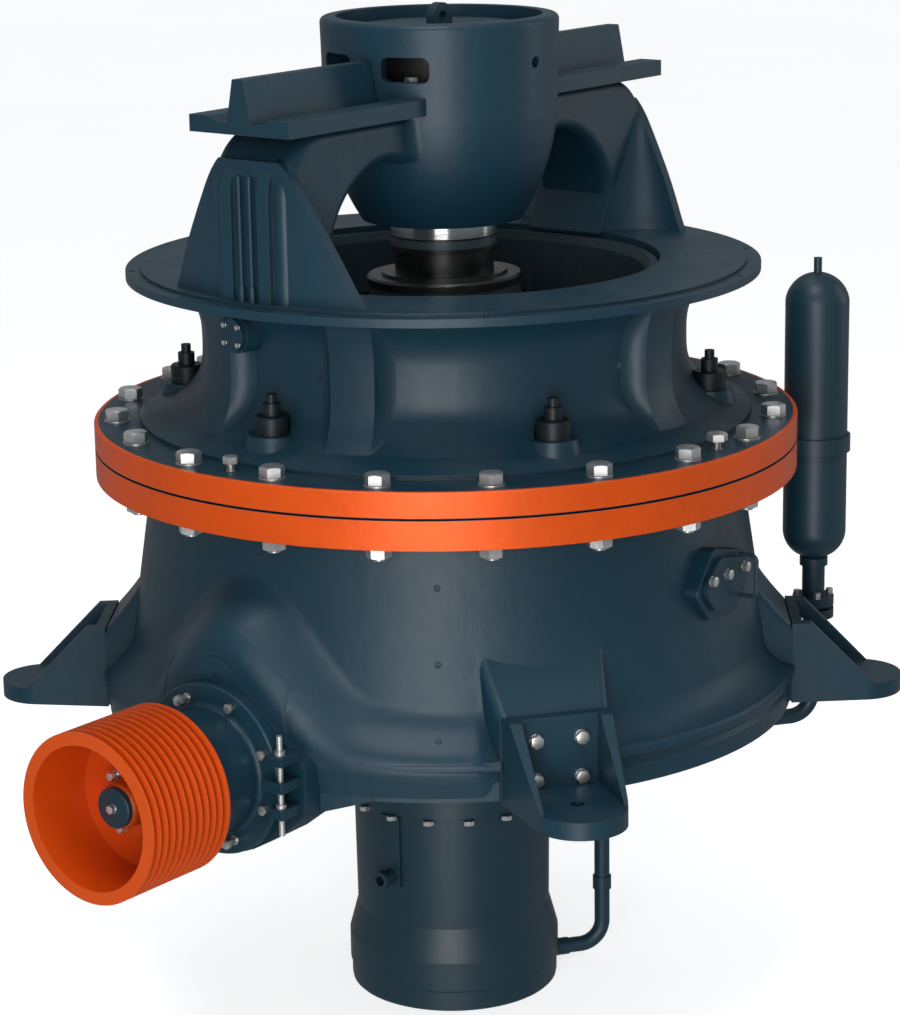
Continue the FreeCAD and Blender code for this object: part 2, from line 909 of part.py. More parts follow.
def shell_space():
    """The hollow inside the bottom shell, from below the pinion boss up to the flange."""
    low = pinion_height - boss_radius - edge_break
    return turned([
        (0, low),
        (skirt_radius - skirt_wall, low),
        (skirt_radius - skirt_wall, skirt_bottom),
        (shell_foot_radius - shell_wall, shell_foot_level),
        (liner_bore, flange_seam - lower_flange - shell_wall),
        (liner_bore, flange_seam + 1),
        (0, flange_seam + 1),
    ])


def pinion_hood():
    """Bell-shaped hood that carries the pinion tunnel out through the shell wall."""
    low = hood_low
    rise = hood_peak - low
    half = hood_half_width
    right = [(0.077, 0.958), (0.17, 0.838), (0.31, 0.47), (0.45, 0.277), (0.647, 0.123), (1, 0)]
    right = [(half * out, low + rise * up) for out, up in right]
    left = [(-x, z) for x, z in reversed(right[:-1])]
    belly = pinion_height - boss_radius
    outline = face_of([
        (-half, low),
        left + [(0, hood_peak)] + right,
        (half, skirt_bottom),
        (0.7 * half, skirt_bottom + 0.22 * belly),
        (0.35 * half, belly + boss_radius / 3),
        (-0.35 * half, belly + boss_radius / 3),
        (-0.7 * half, skirt_bottom + 0.22 * belly),
        (-half, skirt_bottom),
    ])
    face = skirt_radius + edge_break / 2
    slope_foot = (face, hood_slope_foot)
    round_face = turned([
        (0, belly),
        (face, belly),
        slope_foot,
        arc_to(slope_foot, (hood_slope_radius, hood_peak), -0.06),
        (0, hood_peak + 1),
    ])
    hood = outline.extrude(Vector(0, -bead_radius, 0)).common(round_face)
    near = 0.8 * skirt_radius
    return rounded(hood, hood_round, lambda p: p.y < -near and abs(p.x) > 1 and p.z > low + 1
                   and abs(p.x) < half - 1)


def boss_front():
    """Machined front plate round the pinion bore, with sloping sides and a peak."""
    low = pinion_height - 0.9 * boss_radius
    outline = face_of([
        (-0.45 * boss_radius, low),
        (0.45 * boss_radius, low),
        (0.91 * boss_radius, 0.5 * (low + front_low)),
        (front_half_width, front_low),
        (front_half_width, front_shoulder),
        (front_round, front_peak),
        (-front_round, front_peak),
        (-front_half_width, front_shoulder),
        (-front_half_width, front_low),
        (-0.91 * boss_radius, 0.5 * (low + front_low)),
    ])
    front = outline.extrude(Vector(0, -boss_face, 0))
    front = rounded(front, front_round, lambda p: abs(p.x) > front_round + 1 and -boss_face + 1 < p.y < -1)
    return front.fuse(on_pinion(rod(boss_radius, 0, boss_face)))


def screw_lug(inner, level):
    """Lug that the upright adjusting screw passes through."""
    reach = boss_face + screw_out
    lug = Part.makeBox(screw_offset + screw_lug_edge - inner, screw_out + screw_lug_edge, screw_lug_height)
    lug.translate(Vector(inner, -reach - screw_lug_edge, level - screw_lug_height / 2))
    hole = Part.makeCylinder(screw_radius + 1, 2 * screw_lug_height,
                             Vector(screw_offset, -reach, level - screw_lug_height))
    return lug.cut(hole)


def foot_bracket():
    """Cast box on the shell that a foot bolts to, towards +X: a hollow roof and spreading sides."""
    root = foot_seat - bracket_depth
    front = (foot_seat, bracket_front)
    box = slab([
        (root, skirt_bottom),
        (foot_seat, skirt_bottom),
        front,
        arc_to(front, (root, bracket_back), 0.06),
    ], 2 * bracket_half_width)
    wide = bracket_half_width + bracket_spread
    sides = plate([(root - 1, -wide), (foot_seat, -bracket_half_width), (foot_seat, bracket_half_width),
                   (root - 1, wide)], skirt_bottom, bracket_back + 1)
    box = box.common(sides)
    return rounded(box, bracket_round, lambda p: p.x > root + 1 and p.z > bracket_front - 1
                   and (abs(p.y) > bracket_half_width - 1 or p.x > foot_seat - 1))


def cover_pad():
    """Rounded boss on the shell that carries the inspection cover, towards +X."""
    wide = 1 + 2 * cover_pad_border / cover_width
    high = 1 + 2 * cover_pad_border / cover_height
    points = [(y * wide, z * high) for y, z in cover_outline()]
    pad = plate(points, 0, 0.2 * cover_boss)
    pad = rounded(pad, cover_pad_border, lambda p: 1 < p.z < 0.2 * cover_boss - 1)
    pad = rounded(pad, edge_break, lambda p: p.z > 0.2 * cover_boss - 1)
    pad.Placement = Placement(Vector(0.8 * cover_boss, 0, cover_level), Rotation(Vector(1, 1, 1), 120))
    return pad


def foot_notch():
    """Cutter for the gap in the skirt where a foot stands, towards +X."""
    return block(foot_seat, 1.1 * foot_seat, bracket_half_width, skirt_bottom - 1, bracket_front)


def shell_hole(azimuth, height):
    """Cutter for a small threaded hole in the shell's wall."""
    return to_radial(spoke(small_hole, 0.95 * shell_radius(height), 1.1 * shell_foot_radius, height), azimuth)


def bottomshell():
    """Bottom shell casting: wall, skirt, flange, hood, front plate and foot brackets."""
    extras = [to_radial(foot_bracket(), azimuth) for azimuth in foot_azimuths]
    extras += [pinion_hood(), boss_front(), to_radial(cover_pad(), cover_angle)]
    inner = housing_flange_radius + edge_break
    lugs = [screw_lug(inner, screw_lug_level + side * screw_lug_spread) for side in (-1, 1)]
    body = turned(bottomshell_skin()).fuse(extras).cut(shell_space())
    cuts = [on_pinion(rod(housing_spigot, housing_spigot_end, boss_face + 1))]
    cuts += [to_radial(foot_notch(), azimuth) for azimuth in foot_azimuths]
    cuts += [shell_hole(0, pinion_height + 1.03 * boss_radius)]
    cuts += drilled(flange_bolt_hole, flange_bolt_circle, flange_seam - 1.5 * lower_flange, 2 * lower_flange,
                    flange_bolt_count, flange_bolt_first)
    return body.cut(cuts).fuse(lugs).removeSplitter()


def shell_arm():
    """Arm between the hub case and the wall of the bottom shell, towards +X."""
    return block(eccentric_foot_radius, skirt_radius, shell_arm_width / 2, shell_arm_low, shell_arm_top)


def shell_hub():
    """Hub case inside the bottom shell, with its three arms and the inner pinion tunnel."""
    case = turned([
        (0, hub_case_bottom),
        (hub_case_radius, hub_case_bottom),
        (hub_case_radius, hub_case_shoulder),
        (hub_case_top_radius, hub_case_top),
        (0, hub_case_top),
    ])
    parts = [to_radial(shell_arm(), azimuth) for azimuth in (90, 180, 270)]
    parts.append(on_pinion(rod(tunnel_radius, gear_chamber_radius, skirt_radius)))
    hub = case.fuse([part.common(shell_space()) for part in parts])
    outside = eccentric_radius + outer_bushing_wall
    return hub.cut([
        rod(hub_case_radius, 3 * hub_case_bottom, hub_case_bottom),
        rod(gear_chamber_radius, hub_case_bottom, gear_chamber_top),
        rod(outside, gear_chamber_top, hub_case_top),
        on_pinion(rod(housing_spigot, housing_spigot_end, boss_face)),
        on_pinion(rod(housing_nose, gear_chamber_radius - housing_nose / 2, housing_spigot_end)),
    ]).removeSplitter()


def foot():
    """One foot casting, towards +X: base with a round tip, two sloping ribs and a back plate."""
    reach = foot_tip_centre - foot_seat
    away = math.hypot(reach, foot_half_width)
    turn = math.atan2(foot_half_width, reach) + math.acos(foot_tip_radius / away)
    tip_x = foot_tip_centre - foot_tip_radius * math.cos(turn)
    tip_y = foot_tip_radius * math.sin(turn)
    start = Vector(foot_seat, -foot_half_width, 0)
    end = Vector(foot_seat, foot_half_width, 0)
    before = Vector(tip_x, -tip_y, 0)
    after = Vector(tip_x, tip_y, 0)
    outline = Part.Face(Part.Wire([
        Part.makeLine(start, before),
        Part.Arc(before, Vector(foot_tip_centre + foot_tip_radius, 0, 0), after).toShape(),
        Part.makeLine(after, end),
        Part.makeLine(end, start),
    ]))
    past = foot_tip_centre + 2 * foot_tip_radius
    side = slab([
        (foot_seat, 0),
        (past, 0),
        (past, foot_base),
        (foot_hole_radius + foot_rib_foot, foot_base),
        (foot_seat + foot_rib_crest, foot_rib_top),
        (foot_seat, foot_rib_top),
    ], 2 * foot_half_width)
    pocket = block(foot_seat + foot_back, past, foot_half_width - foot_rib, foot_base, 2 * foot_rib_top)
    hole = Part.makeCylinder(foot_hole, 2 * foot_base, Vector(foot_hole_radius, 0, 0))
    return outline.extrude(Vector(0, 0, foot_rib_top)).common(side).cut([pocket, hole])


def bottom_cover():
    """Lid under the gear chamber, with the neck that the hydraulic cylinder bolts to."""
    bore = cylinder_bore + 2 * edge_break
    outside = hub_case_radius - case_edge
    fit = gear_chamber_radius - edge_break / 2
    deck = hub_case_bottom + case_edge
    under = hub_case_bottom - case_flange
    seat = eccentric_bottom - seat_clearance
    return turned([
        (bore, case_neck_bottom),
        (case_neck_radius, case_neck_bottom),
        (case_neck_radius, under - case_flange_draft),
        (outside, under),
        (outside, hub_case_bottom),
        (fit, hub_case_bottom),
        (fit, deck),
        (eccentric_foot_radius + case_edge, deck),
        (eccentric_foot_radius + case_edge, seat),
        (bore, seat),
    ])


def hydroset_cylinder():
    """Cylinder barrel with its belly, open at the top and closed by a lid below."""
    return turned([
        (cylinder_bore, case_neck_bottom),
        (cylinder_radius, case_neck_bottom),
        (cylinder_waist, cylinder_waist_level),
        (cylinder_belly, cylinder_belly_level),
        (cylinder_belly, cylinder_step_level),
        (cylinder_foot, cylinder_step_level - cylinder_step),
        (cylinder_foot, cylinder_bottom),
        (cylinder_bore, cylinder_bottom),
    ])


def cylinder_cover():
    """Round lid that closes the cylinder from below."""
    rim = cylinder_foot - edge_break / 2
    low = cylinder_bottom - cylinder_lid
    return turned([
        (0, low),
        (rim - cylinder_step, low),
        (rim, low + cylinder_step),
        (rim, cylinder_bottom),
        (cylinder_bore - seat_clearance, cylinder_bottom),
        (cylinder_bore - seat_clearance, cylinder_bottom + cylinder_lid_spigot),
        (0, cylinder_bottom + cylinder_lid_spigot),
    ])


def outer_bushing():
    """Bushing pressed into the hub of the bottom shell, where the eccentric turns."""
    inside = eccentric_radius + running_clearance
    outside = eccentric_radius + outer_bushing_wall - seat_clearance
    return turned([
        (inside, gear_chamber_top),
        (outside, gear_chamber_top),
        (outside, hub_case_top),
        (inside, hub_case_top),
    ])


def eccentric():
    """Eccentric sleeve: round outside about the machine axis, with a leaning bore."""
    sleeve = turned([
        (0, eccentric_bottom),
        (eccentric_foot_radius, eccentric_bottom),
        (eccentric_foot_radius, gear_bottom),
        (eccentric_radius, gear_bottom),
        (eccentric_radius, eccentric_top),
        (0, eccentric_top),
    ])
    bore = rod(journal_radius + running_clearance, 2 * journal_bottom, 1.2 * eccentric_top)
    return sleeve.cut(leaning(bore))


def gear_ring():
    """Drive wheel blank on the eccentric."""
    inside = eccentric_radius + seat_clearance
    return turned([
        (inside, gear_bottom),
        (gear_radius, gear_bottom + gear_rim),
        (gear_radius, gear_top),
        (inside, gear_top),
    ])


def main_shaft():
    """Main shaft from its top in the spider down to the step bearing."""
    end = journal_bottom - dish_depth
    shaft = turned([
        (0, shaft_top),
        (shaft_radius, shaft_top),
        (shaft_radius, shaft_core_top + shaft_taper),
        (shaft_core_radius - shaft_core_draft, shaft_core_top),
        (shaft_core_radius, shaft_core_bottom),
        (journal_radius, journal_top),
        (journal_radius, end),
        (0, end),
    ])
    ball = Part.makeSphere(dish_radius, Vector(0, 0, journal_bottom + dish_radius))
    below = rod(2 * journal_radius, 2 * journal_bottom, journal_bottom + journal_radius)
    return leaning(shaft.cut(below.cut(ball)))


def shaft_sleeve():
    """Wear sleeve shrunk on the shaft where it runs in the spider bushing."""
    inside = shaft_radius + seat_clearance
    return leaning(turned([
        (inside, sleeve_bottom),
        (sleeve_radius, sleeve_bottom),
        (sleeve_radius, shaft_top),
        (inside, shaft_top),
    ]))


def head_nut():
    """Nut that draws the mantle down on the head."""
    inside = shaft_radius + seat_clearance
    low = head_top + 2 * running_clearance
    top = low + head_nut_height
    return leaning(turned([
        (inside, low),
        (head_nut_radius, low),
        (head_nut_radius, top - head_nut_rim),
        (head_nut_radius - head_nut_rim, top),
        (head_collar_radius, top),
        (head_collar_radius, top + head_collar_height),
        (inside, top + head_collar_height),
    ]))


def cone_points(shares, start, end):
    """Points of a cone's outline, given as shares of the way from start to end."""
    run = end[0] - start[0]
    drop = end[1] - start[1]
    return [(start[0] + out * run, start[1] + down * drop) for out, down in shares]


def head_cone(gap):
    """Outline of the head's cone, moved outward by a gap."""
    start = (head_neck_radius + gap, head_neck_level)
    end = (head_radius + gap, head_bottom + head_edge + gap)
    return cone_points(((0, 0), (0.228, 0.412), (0.601, 0.667), (0.853, 0.853), (1, 1)), start, end)


def head():
    """Cast cone on the shaft that backs the mantle."""
    fit = seat_clearance
    collar = sleeve_radius
    return leaning(turned([
        (shaft_radius + fit, head_top),
        (collar, head_top),
    ] + head_cone(0) + [
        (head_radius, head_bottom),
        (head_hollow_radius, head_bottom),
        (head_boss_radius, head_boss_bottom),
        (shaft_core_radius + fit, head_bore_bottom),
        (shaft_core_radius - shaft_core_draft + fit, shaft_core_top),
        (shaft_radius + fit, shaft_core_top + shaft_taper),
    ]))


def mantle():
    """Manganese liner on the head."""
    top = head_top + running_clearance
    start = (mantle_shoulder_radius, mantle_shoulder)
    end = (mantle_radius, mantle_bottom + mantle_edge)
    outline = cone_points(((0, 0), (0.225, 0.343), (0.601, 0.629), (0.838, 0.838), (1, 1)), start, end)
    gap = running_clearance
    return leaning(turned([
        (sleeve_radius + gap, top),
        (mantle_shoulder_radius - head_nut_rim, top),
    ] + outline + [
        (mantle_radius, mantle_bottom),
        (head_radius + gap, mantle_bottom),
    ] + head_cone(gap)[::-1]))


def step_washer():
    """Washer of the step bearing: dished for the shaft end above, flat on the piston below."""
    shift = (pivot_height - journal_bottom) * math.tan(math.radians(lean_degrees))
    washer = rod(washer_radius, piston_top + seat_clearance, journal_bottom + dish_depth)
    washer.translate(Vector(shift, 0, 0))
    seat = Part.makeSphere(dish_radius + seat_clearance, Vector(0, 0, journal_bottom + dish_radius))
    return washer.cut(leaning(seat))


def hydroset_piston():
    """Piston that carries the shaft on its flat top."""
    low = piston_top - piston_height
    outside = cylinder_bore - running_clearance
    return turned([
        (0, low),
        (outside, low),
        (outside, piston_top - piston_neck - piston_chamfer),
        (piston_neck_radius, piston_top - piston_neck),
        (piston_neck_radius, piston_top),
        (0, piston_top),
    ])


def pulley():
    """Grooved pulley: rim with vee grooves, recessed web and hub."""
    outer_face = pulley_inner_face + pulley_width
    land = (pulley_width - pulley_groove_count * pulley_groove_pitch) / 2
    floor_radius = pulley_radius - pulley_groove_depth
    points = [(pulley_bore_radius, pulley_inner_face), (pulley_radius, pulley_inner_face)]
    for k in range(pulley_groove_count):
        low = pulley_inner_face + land + k * pulley_groove_pitch
        middle = low + pulley_groove_pitch / 2
        points += [
            (pulley_radius, low + pulley_land / 2),
            (floor_radius, middle - pulley_groove_floor / 2),
            (floor_radius, middle + pulley_groove_floor / 2),
            (pulley_radius, low + pulley_groove_pitch - pulley_land / 2),
        ]
    web_back = pulley_web_face - pulley_web
    deep = pulley_bore_radius - pulley_bore_draft
    points += [
        (pulley_radius, outer_face),
        (pulley_bore_radius, outer_face),
        (deep, pulley_web_face),
        (pulley_hub_radius, pulley_web_face),
        (pulley_hub_radius, pulley_hub_face),
        (lock_ring_radius, pulley_hub_face),
        (lock_ring_radius, pulley_hub_back),
        (pulley_hub_radius, pulley_hub_back),
        (pulley_hub_radius, web_back),
        (deep, web_back),
    ]
    return on_pinion(turned(points))


def pulley_bushing():
    """Bushing that locks the pulley on the shaft."""
    inside = pinion_shaft_radius + seat_clearance
    outside = lock_ring_radius - seat_clearance
    return on_pinion(turned([
        (inside, pulley_hub_back),
        (outside, pulley_hub_back),
        (outside, pulley_hub_face),
        (inside, pulley_hub_face),
    ]))


def pinion_shaft():
    """Drive shaft from the gear chamber out through the housing to the pulley."""
    end = end_cap_face - end_cap_thickness
    pinion_end = pinion_start + pinion_length
    return on_pinion(turned([
        (0, pinion_start),
        (0.54 * pinion_radius, pinion_start),
        (0.86 * pinion_radius, pinion_start + 0.1 * pinion_length),
        (pinion_radius, pinion_end),
        (0.64 * pinion_radius, pinion_end),
        (0.64 * pinion_radius, housing_nose_end - 2 * edge_break),
        (pinion_shaft_radius, housing_nose_end - edge_break),
        (pinion_shaft_radius, end - edge_break),
        (pinion_shaft_radius - edge_break, end),
        (0, end),
    ]))


def shaft_end_cap():
    """Round plate on the end of the drive shaft."""
    low = end_cap_face - end_cap_thickness
    return on_pinion(turned([
        (0, low),
        (end_cap_radius, low),
        (end_cap_radius, end_cap_face - edge_break),
        (end_cap_radius - edge_break, end_cap_face),
        (0, end_cap_face),
    ]))


def pinion_housing():
    """Housing with its flange, barrel and lug, fixed in the tunnel."""
    bore = pinion_shaft_radius + running_clearance
    nose = housing_nose - seat_clearance
    spigot = housing_spigot - seat_clearance
    front = boss_face + housing_flange
    root = (housing_barrel + housing_barrel_round, front)
    rim = (housing_barrel, housing_barrel_end - housing_barrel_round)
    body = on_pinion(turned([
        (bore, housing_nose_end),
        (nose, housing_nose_end),
        (nose, housing_spigot_end),
        (spigot, housing_spigot_end),
        (spigot, boss_face),
        (housing_flange_radius, boss_face),
        (housing_flange_radius, front - edge_break),
        (housing_flange_radius - edge_break, front),
        root,
        arc_to(root, (housing_barrel, front + housing_barrel_round), QUARTER),
        rim,
        arc_to(rim, (housing_barrel - housing_barrel_round, housing_barrel_end), -QUARTER),
        (bore, housing_barrel_end),
    ]))
    slots = []
    for k in range(housing_slot_count):
        turn = math.radians(housing_slot_first + 360.0 * k / housing_slot_count)
        start = Vector(housing_slot_circle * math.cos(turn), -boss_face + 1,
                       pinion_height + housing_slot_circle * math.sin(turn))
        slots.append(Part.makeCylinder(housing_slot_half_width, 2 * housing_flange, start, Vector(0, -1, 0)))
    lug = screw_lug(housing_flange_radius - screw_lug_edge, screw_lug_level)
    return body.cut(slots).fuse(lug).removeSplitter()


def adjusting_screw():
    """Upright screw that raises and lowers the housing for gear backlash."""
    screw = rod(screw_radius, screw_low, screw_high)
    for side in (-1, 1):
        above = screw_lug_level + side * screw_lug_spread + screw_lug_height / 2
        screw = screw.fuse(rod(screw_nut_radius, above, above + screw_nut_height))
    screw.translate(Vector(screw_offset, -boss_face - screw_out, 0))
    return screw


def accumulator():
    """Gas bottle with domed ends and a stem on top."""
    foot = (bottle_flat, bottle_bottom)
    shoulder_edge = (bottle_radius, bottle_top - bottle_dome)
    bottle = turned([
        (0, bottle_bottom),
        foot,
        arc_to(foot, (bottle_radius, bottle_bottom + bottle_dome), -0.16),
        shoulder_edge,
        arc_to(shoulder_edge, (bottle_stem_radius, bottle_top), -0.17),
        (bottle_stem_radius, bottle_stem_top),
        (0, bottle_stem_top),
    ])
    bottle.translate(at(bottle_angle, bottle_circle, 0))
    return bottle


def accumulator_clamp():
    """Band round the bottle with the arm that is bolted under the lower flange."""
    under = flange_seam - lower_flange
    inside = bottle_radius + seat_clearance
    near = bottle_circle - inside - clamp_wall / 2
    band = rod(inside + clamp_wall, clamp_bottom, clamp_top)
    band.translate(Vector(bottle_circle, 0, 0))
    arm = block(clamp_root, near, clamp_arm_width / 2, under - clamp_arm_thickness, under)
    web = block(1.06 * clamp_root, near, clamp_web / 2, clamp_bottom, under)
    hole = rod(inside, clamp_bottom, under)
    hole.translate(Vector(bottle_circle, 0, 0))
    return to_radial(band.fuse([arm, web]).cut(hole).removeSplitter(), bottle_angle)


def accumulator_valve():
    """Neck and flanged valve block under the bottle."""
    collar = bottle_bottom - edge_break
    lower = valve_flange_top - valve_flange_thickness
    middle = lower - valve_flange_gap
    bottom = middle - valve_flange_thickness
    body = turned([
        (0, valve_bottom),
        (valve_foot_radius, valve_bottom),
        (valve_foot_radius, bottom),
        (valve_flange_radius, bottom),
        (valve_flange_radius, middle),
        (valve_foot_radius, middle),
        (valve_foot_radius, lower),
        (valve_flange_radius, lower),
        (valve_flange_radius, valve_flange_top),
        (valve_neck_radius, valve_flange_top),
        (valve_neck_radius, collar - valve_collar_height),
        (valve_collar_radius, collar - valve_collar_height),
        (valve_collar_radius, collar),
        (bottle_flat, bottle_bottom),
        (0, bottle_bottom),
    ])
    body.translate(at(bottle_angle, bottle_circle, 0))
    return body


def pipe_along(points, bend, radius):
    """A round pipe along straight runs joined by tangent arcs."""
    edges = []
    last = points[0]
    for k in range(1, len(points) - 1):
        corner = points[k]
        into = (corner - points[k - 1]).normalize()
        out = (points[k + 1] - corner).normalize()
        begin = corner - into * bend
        end = corner + out * bend
        middle = corner + (out - into) * bend * (1 - 1 / math.sqrt(2))
        edges.append(Part.makeLine(last, begin))
        edges.append(Part.Arc(begin, middle, end).toShape())
        last = end
    edges.append(Part.makeLine(last, points[-1]))
    ring = Part.Wire(Part.makeCircle(radius, points[0], points[1] - points[0]))
    return Part.Wire(edges).makePipeShell([ring], True, False)


def cylinder_pipe():
    """Oil pipe from the valve block under the skirt to the foot of the cylinder."""
    pipe = pipe_along([
        at(bottle_angle, bottle_circle, valve_bottom),
        at(bottle_angle, bottle_circle, pipe_level),
        at(bottle_angle, pipe_drop_radius, pipe_level),
        at(bottle_angle, pipe_drop_radius, pipe_port_level),
        at(bottle_angle, cylinder_foot + port_reach, pipe_port_level),
    ], pipe_bend, pipe_radius)
    low = coupling_level - coupling_half
    coupling = rod(pipe_radius + coupling_wall, low, low + 2 * coupling_half)
    coupling.translate(at(bottle_angle, pipe_drop_radius, 0))
    return pipe.fuse(coupling).removeSplitter()


def cylinder_port():
    """Fitting on the cylinder where the oil pipe enters."""
    body = spoke(port_radius, 0.9 * cylinder_foot, cylinder_foot + port_reach, pipe_port_level)
    body = body.cut(rod(cylinder_foot + seat_clearance, 2 * cylinder_bottom, 0))
    return to_radial(body, bottle_angle)


def oil_port():
    """Short open pipe stub with a collar on the cylinder's front."""
    near = cylinder_radius + strap_thickness + 1
    stub = spoke(oil_port_radius, 0.9 * near, oil_port_reach, oil_port_level)
    collar = oil_port_reach - oil_collar_length
    stub = stub.fuse(spoke(oil_collar_radius, collar, oil_port_reach, oil_port_level))
    bore = spoke(oil_port_bore, oil_port_reach - oil_port_depth, oil_port_reach, oil_port_level)
    return to_radial(stub.cut([rod(near, 2 * cylinder_bottom, 0), bore]), 0)


def strap_plate():
    """Narrow plate that hangs from a cylinder bolt and holds the stub."""
    inside = cylinder_radius + seat_clearance
    low = oil_port_level - strap_drop
    ring = rod(inside + strap_thickness, low, -strap_top).cut(rod(inside, low, -strap_top))
    return to_radial(ring.common(block(0, 2 * cylinder_radius, strap_width / 2, low, -strap_top)), 0)


def cover_outline():
    """Six corners of the inspection cover, in its own plane."""
    half = cover_width / 2
    top = cover_height / 2
    return [(-half, -0.1 * top), (-0.45 * half, -top), (0.62 * half, -top), (half, -0.35 * top),
            (half, 0.55 * top), (-0.3 * half, top)]


def access_cover():
    """Inspection cover on the shell with its pull handle."""
    body = plate(cover_outline(), 0, cover_thickness)
    body = rounded(body, cover_corner, lambda p: 1 < p.z < cover_thickness - 1)
    foot_level = cover_thickness / 2
    rail = pipe_along([
        Vector(handle_offset, -handle_half, foot_level),
        Vector(handle_offset, -handle_half, handle_reach),
        Vector(handle_offset, handle_half, handle_reach),
        Vector(handle_offset, handle_half, foot_level),
    ], handle_bend, handle_radius)
    body = body.fuse(rail)
    body.Placement = Placement(Vector(cover_boss, 0, cover_level), Rotation(Vector(1, 1, 1), 120))
    return to_radial(body, cover_angle)


def neck_cover():
    """Small round cover on the neck under the front arm."""
    end = neck_cover_face + neck_cover_thickness
    return to_radial(spoke(neck_cover_radius, neck_cover_face, end, neck_cover_level), neck_cover_angle)


def grease_line():
    """Thin line with its end fitting in the channel of the front leg, towards +X."""
    out = leg_face - leg_channel_depth + line_fitting_radius + seat_clearance
    line = Part.makeCylinder(line_radius, line_length, Vector(out, 0, feed_flange_top))
    fitting = Part.makeCylinder(line_fitting_radius, line_fitting_length, Vector(out, 0, feed_flange_top))
    return line.fuse(fitting)


def grease_lines():
    """Two thin lines that run up the channel of the front leg."""
    lines = []
    for side in (-0.5, 0.5):
        line = grease_line()
        line.translate(Vector(0, side * line_spacing, 0))
        lines.append(to_radial(line, 0))
    return Part.makeCompound(lines)


def save(name, shape):
    """Write one sub-part as a STEP file."""
    shape.exportStep("parts/" + name + ".step")
    print(name, "valid" if shape.isValid() else "NOT VALID", len(shape.Solids), round(shape.Volume / 1e6, 2))


os.makedirs("parts", exist_ok=True)
save("topshell", topshell())
save("spider_cap", spider_cap())
save("spider_bushing", spider_bushing())
save("arm_shield_front", to_radial(arm_shield(), 0))
save("arm_shield_back", to_radial(arm_shield(), 180))
save("concave", concave())
save("clamp_studs", clamp_studs())
save("bottomshell", bottomshell())
save("shell_hub", shell_hub())
for place, azimuth in zip(("front_right", "back_right", "back_left", "front_left"), foot_azimuths):
    save("foot_" + place, to_radial(foot(), azimuth))
save("bottom_cover", bottom_cover())
save("hydroset_cylinder", hydroset_cylinder())
save("cylinder_cover", cylinder_cover())
save("outer_bushing", outer_bushing())
save("eccentric", eccentric())
save("gear_ring", gear_ring())
save("main_shaft", main_shaft())
save("shaft_sleeve", shaft_sleeve())
save("head_nut", head_nut())
save("head", head())
save("mantle", mantle())
save("step_washer", step_washer())
save("hydroset_piston", hydroset_piston())
save("pulley", pulley())
save("pulley_bushing", pulley_bushing())
save("pinion_shaft", pinion_shaft())
save("shaft_end_cap", shaft_end_cap())
save("pinion_housing", pinion_housing())
save("adjusting_screw", adjusting_screw())
save("accumulator", accumulator())
save("accumulator_clamp", accumulator_clamp())
save("accumulator_valve", accumulator_valve())
save("cylinder_pipe", cylinder_pipe())
save("cylinder_port", cylinder_port())
save("oil_port", oil_port())
save("strap_plate", strap_plate())
save("access_cover", access_cover())
save("neck_cover", neck_cover())
save("grease_lines", grease_lines())
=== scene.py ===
import bpy
import numpy as np
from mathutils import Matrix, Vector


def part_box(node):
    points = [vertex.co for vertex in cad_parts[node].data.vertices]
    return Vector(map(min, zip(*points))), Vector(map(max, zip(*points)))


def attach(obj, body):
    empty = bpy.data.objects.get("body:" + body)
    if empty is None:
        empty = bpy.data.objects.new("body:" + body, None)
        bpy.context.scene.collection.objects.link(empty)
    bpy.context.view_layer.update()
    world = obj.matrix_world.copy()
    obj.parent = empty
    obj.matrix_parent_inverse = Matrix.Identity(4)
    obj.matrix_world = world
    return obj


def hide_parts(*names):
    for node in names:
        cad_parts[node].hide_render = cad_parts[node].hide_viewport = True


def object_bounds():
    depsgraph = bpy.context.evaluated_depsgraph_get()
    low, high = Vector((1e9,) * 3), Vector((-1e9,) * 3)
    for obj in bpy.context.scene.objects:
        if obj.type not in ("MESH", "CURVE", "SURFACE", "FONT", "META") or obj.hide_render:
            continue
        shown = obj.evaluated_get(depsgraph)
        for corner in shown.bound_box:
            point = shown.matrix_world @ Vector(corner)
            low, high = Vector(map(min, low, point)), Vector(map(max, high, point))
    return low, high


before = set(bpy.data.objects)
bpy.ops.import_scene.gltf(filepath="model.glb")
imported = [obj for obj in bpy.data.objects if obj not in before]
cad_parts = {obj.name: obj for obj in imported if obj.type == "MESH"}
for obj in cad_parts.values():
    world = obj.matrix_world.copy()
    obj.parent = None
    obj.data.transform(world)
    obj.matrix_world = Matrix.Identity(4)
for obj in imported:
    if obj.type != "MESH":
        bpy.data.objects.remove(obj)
cad_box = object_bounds()


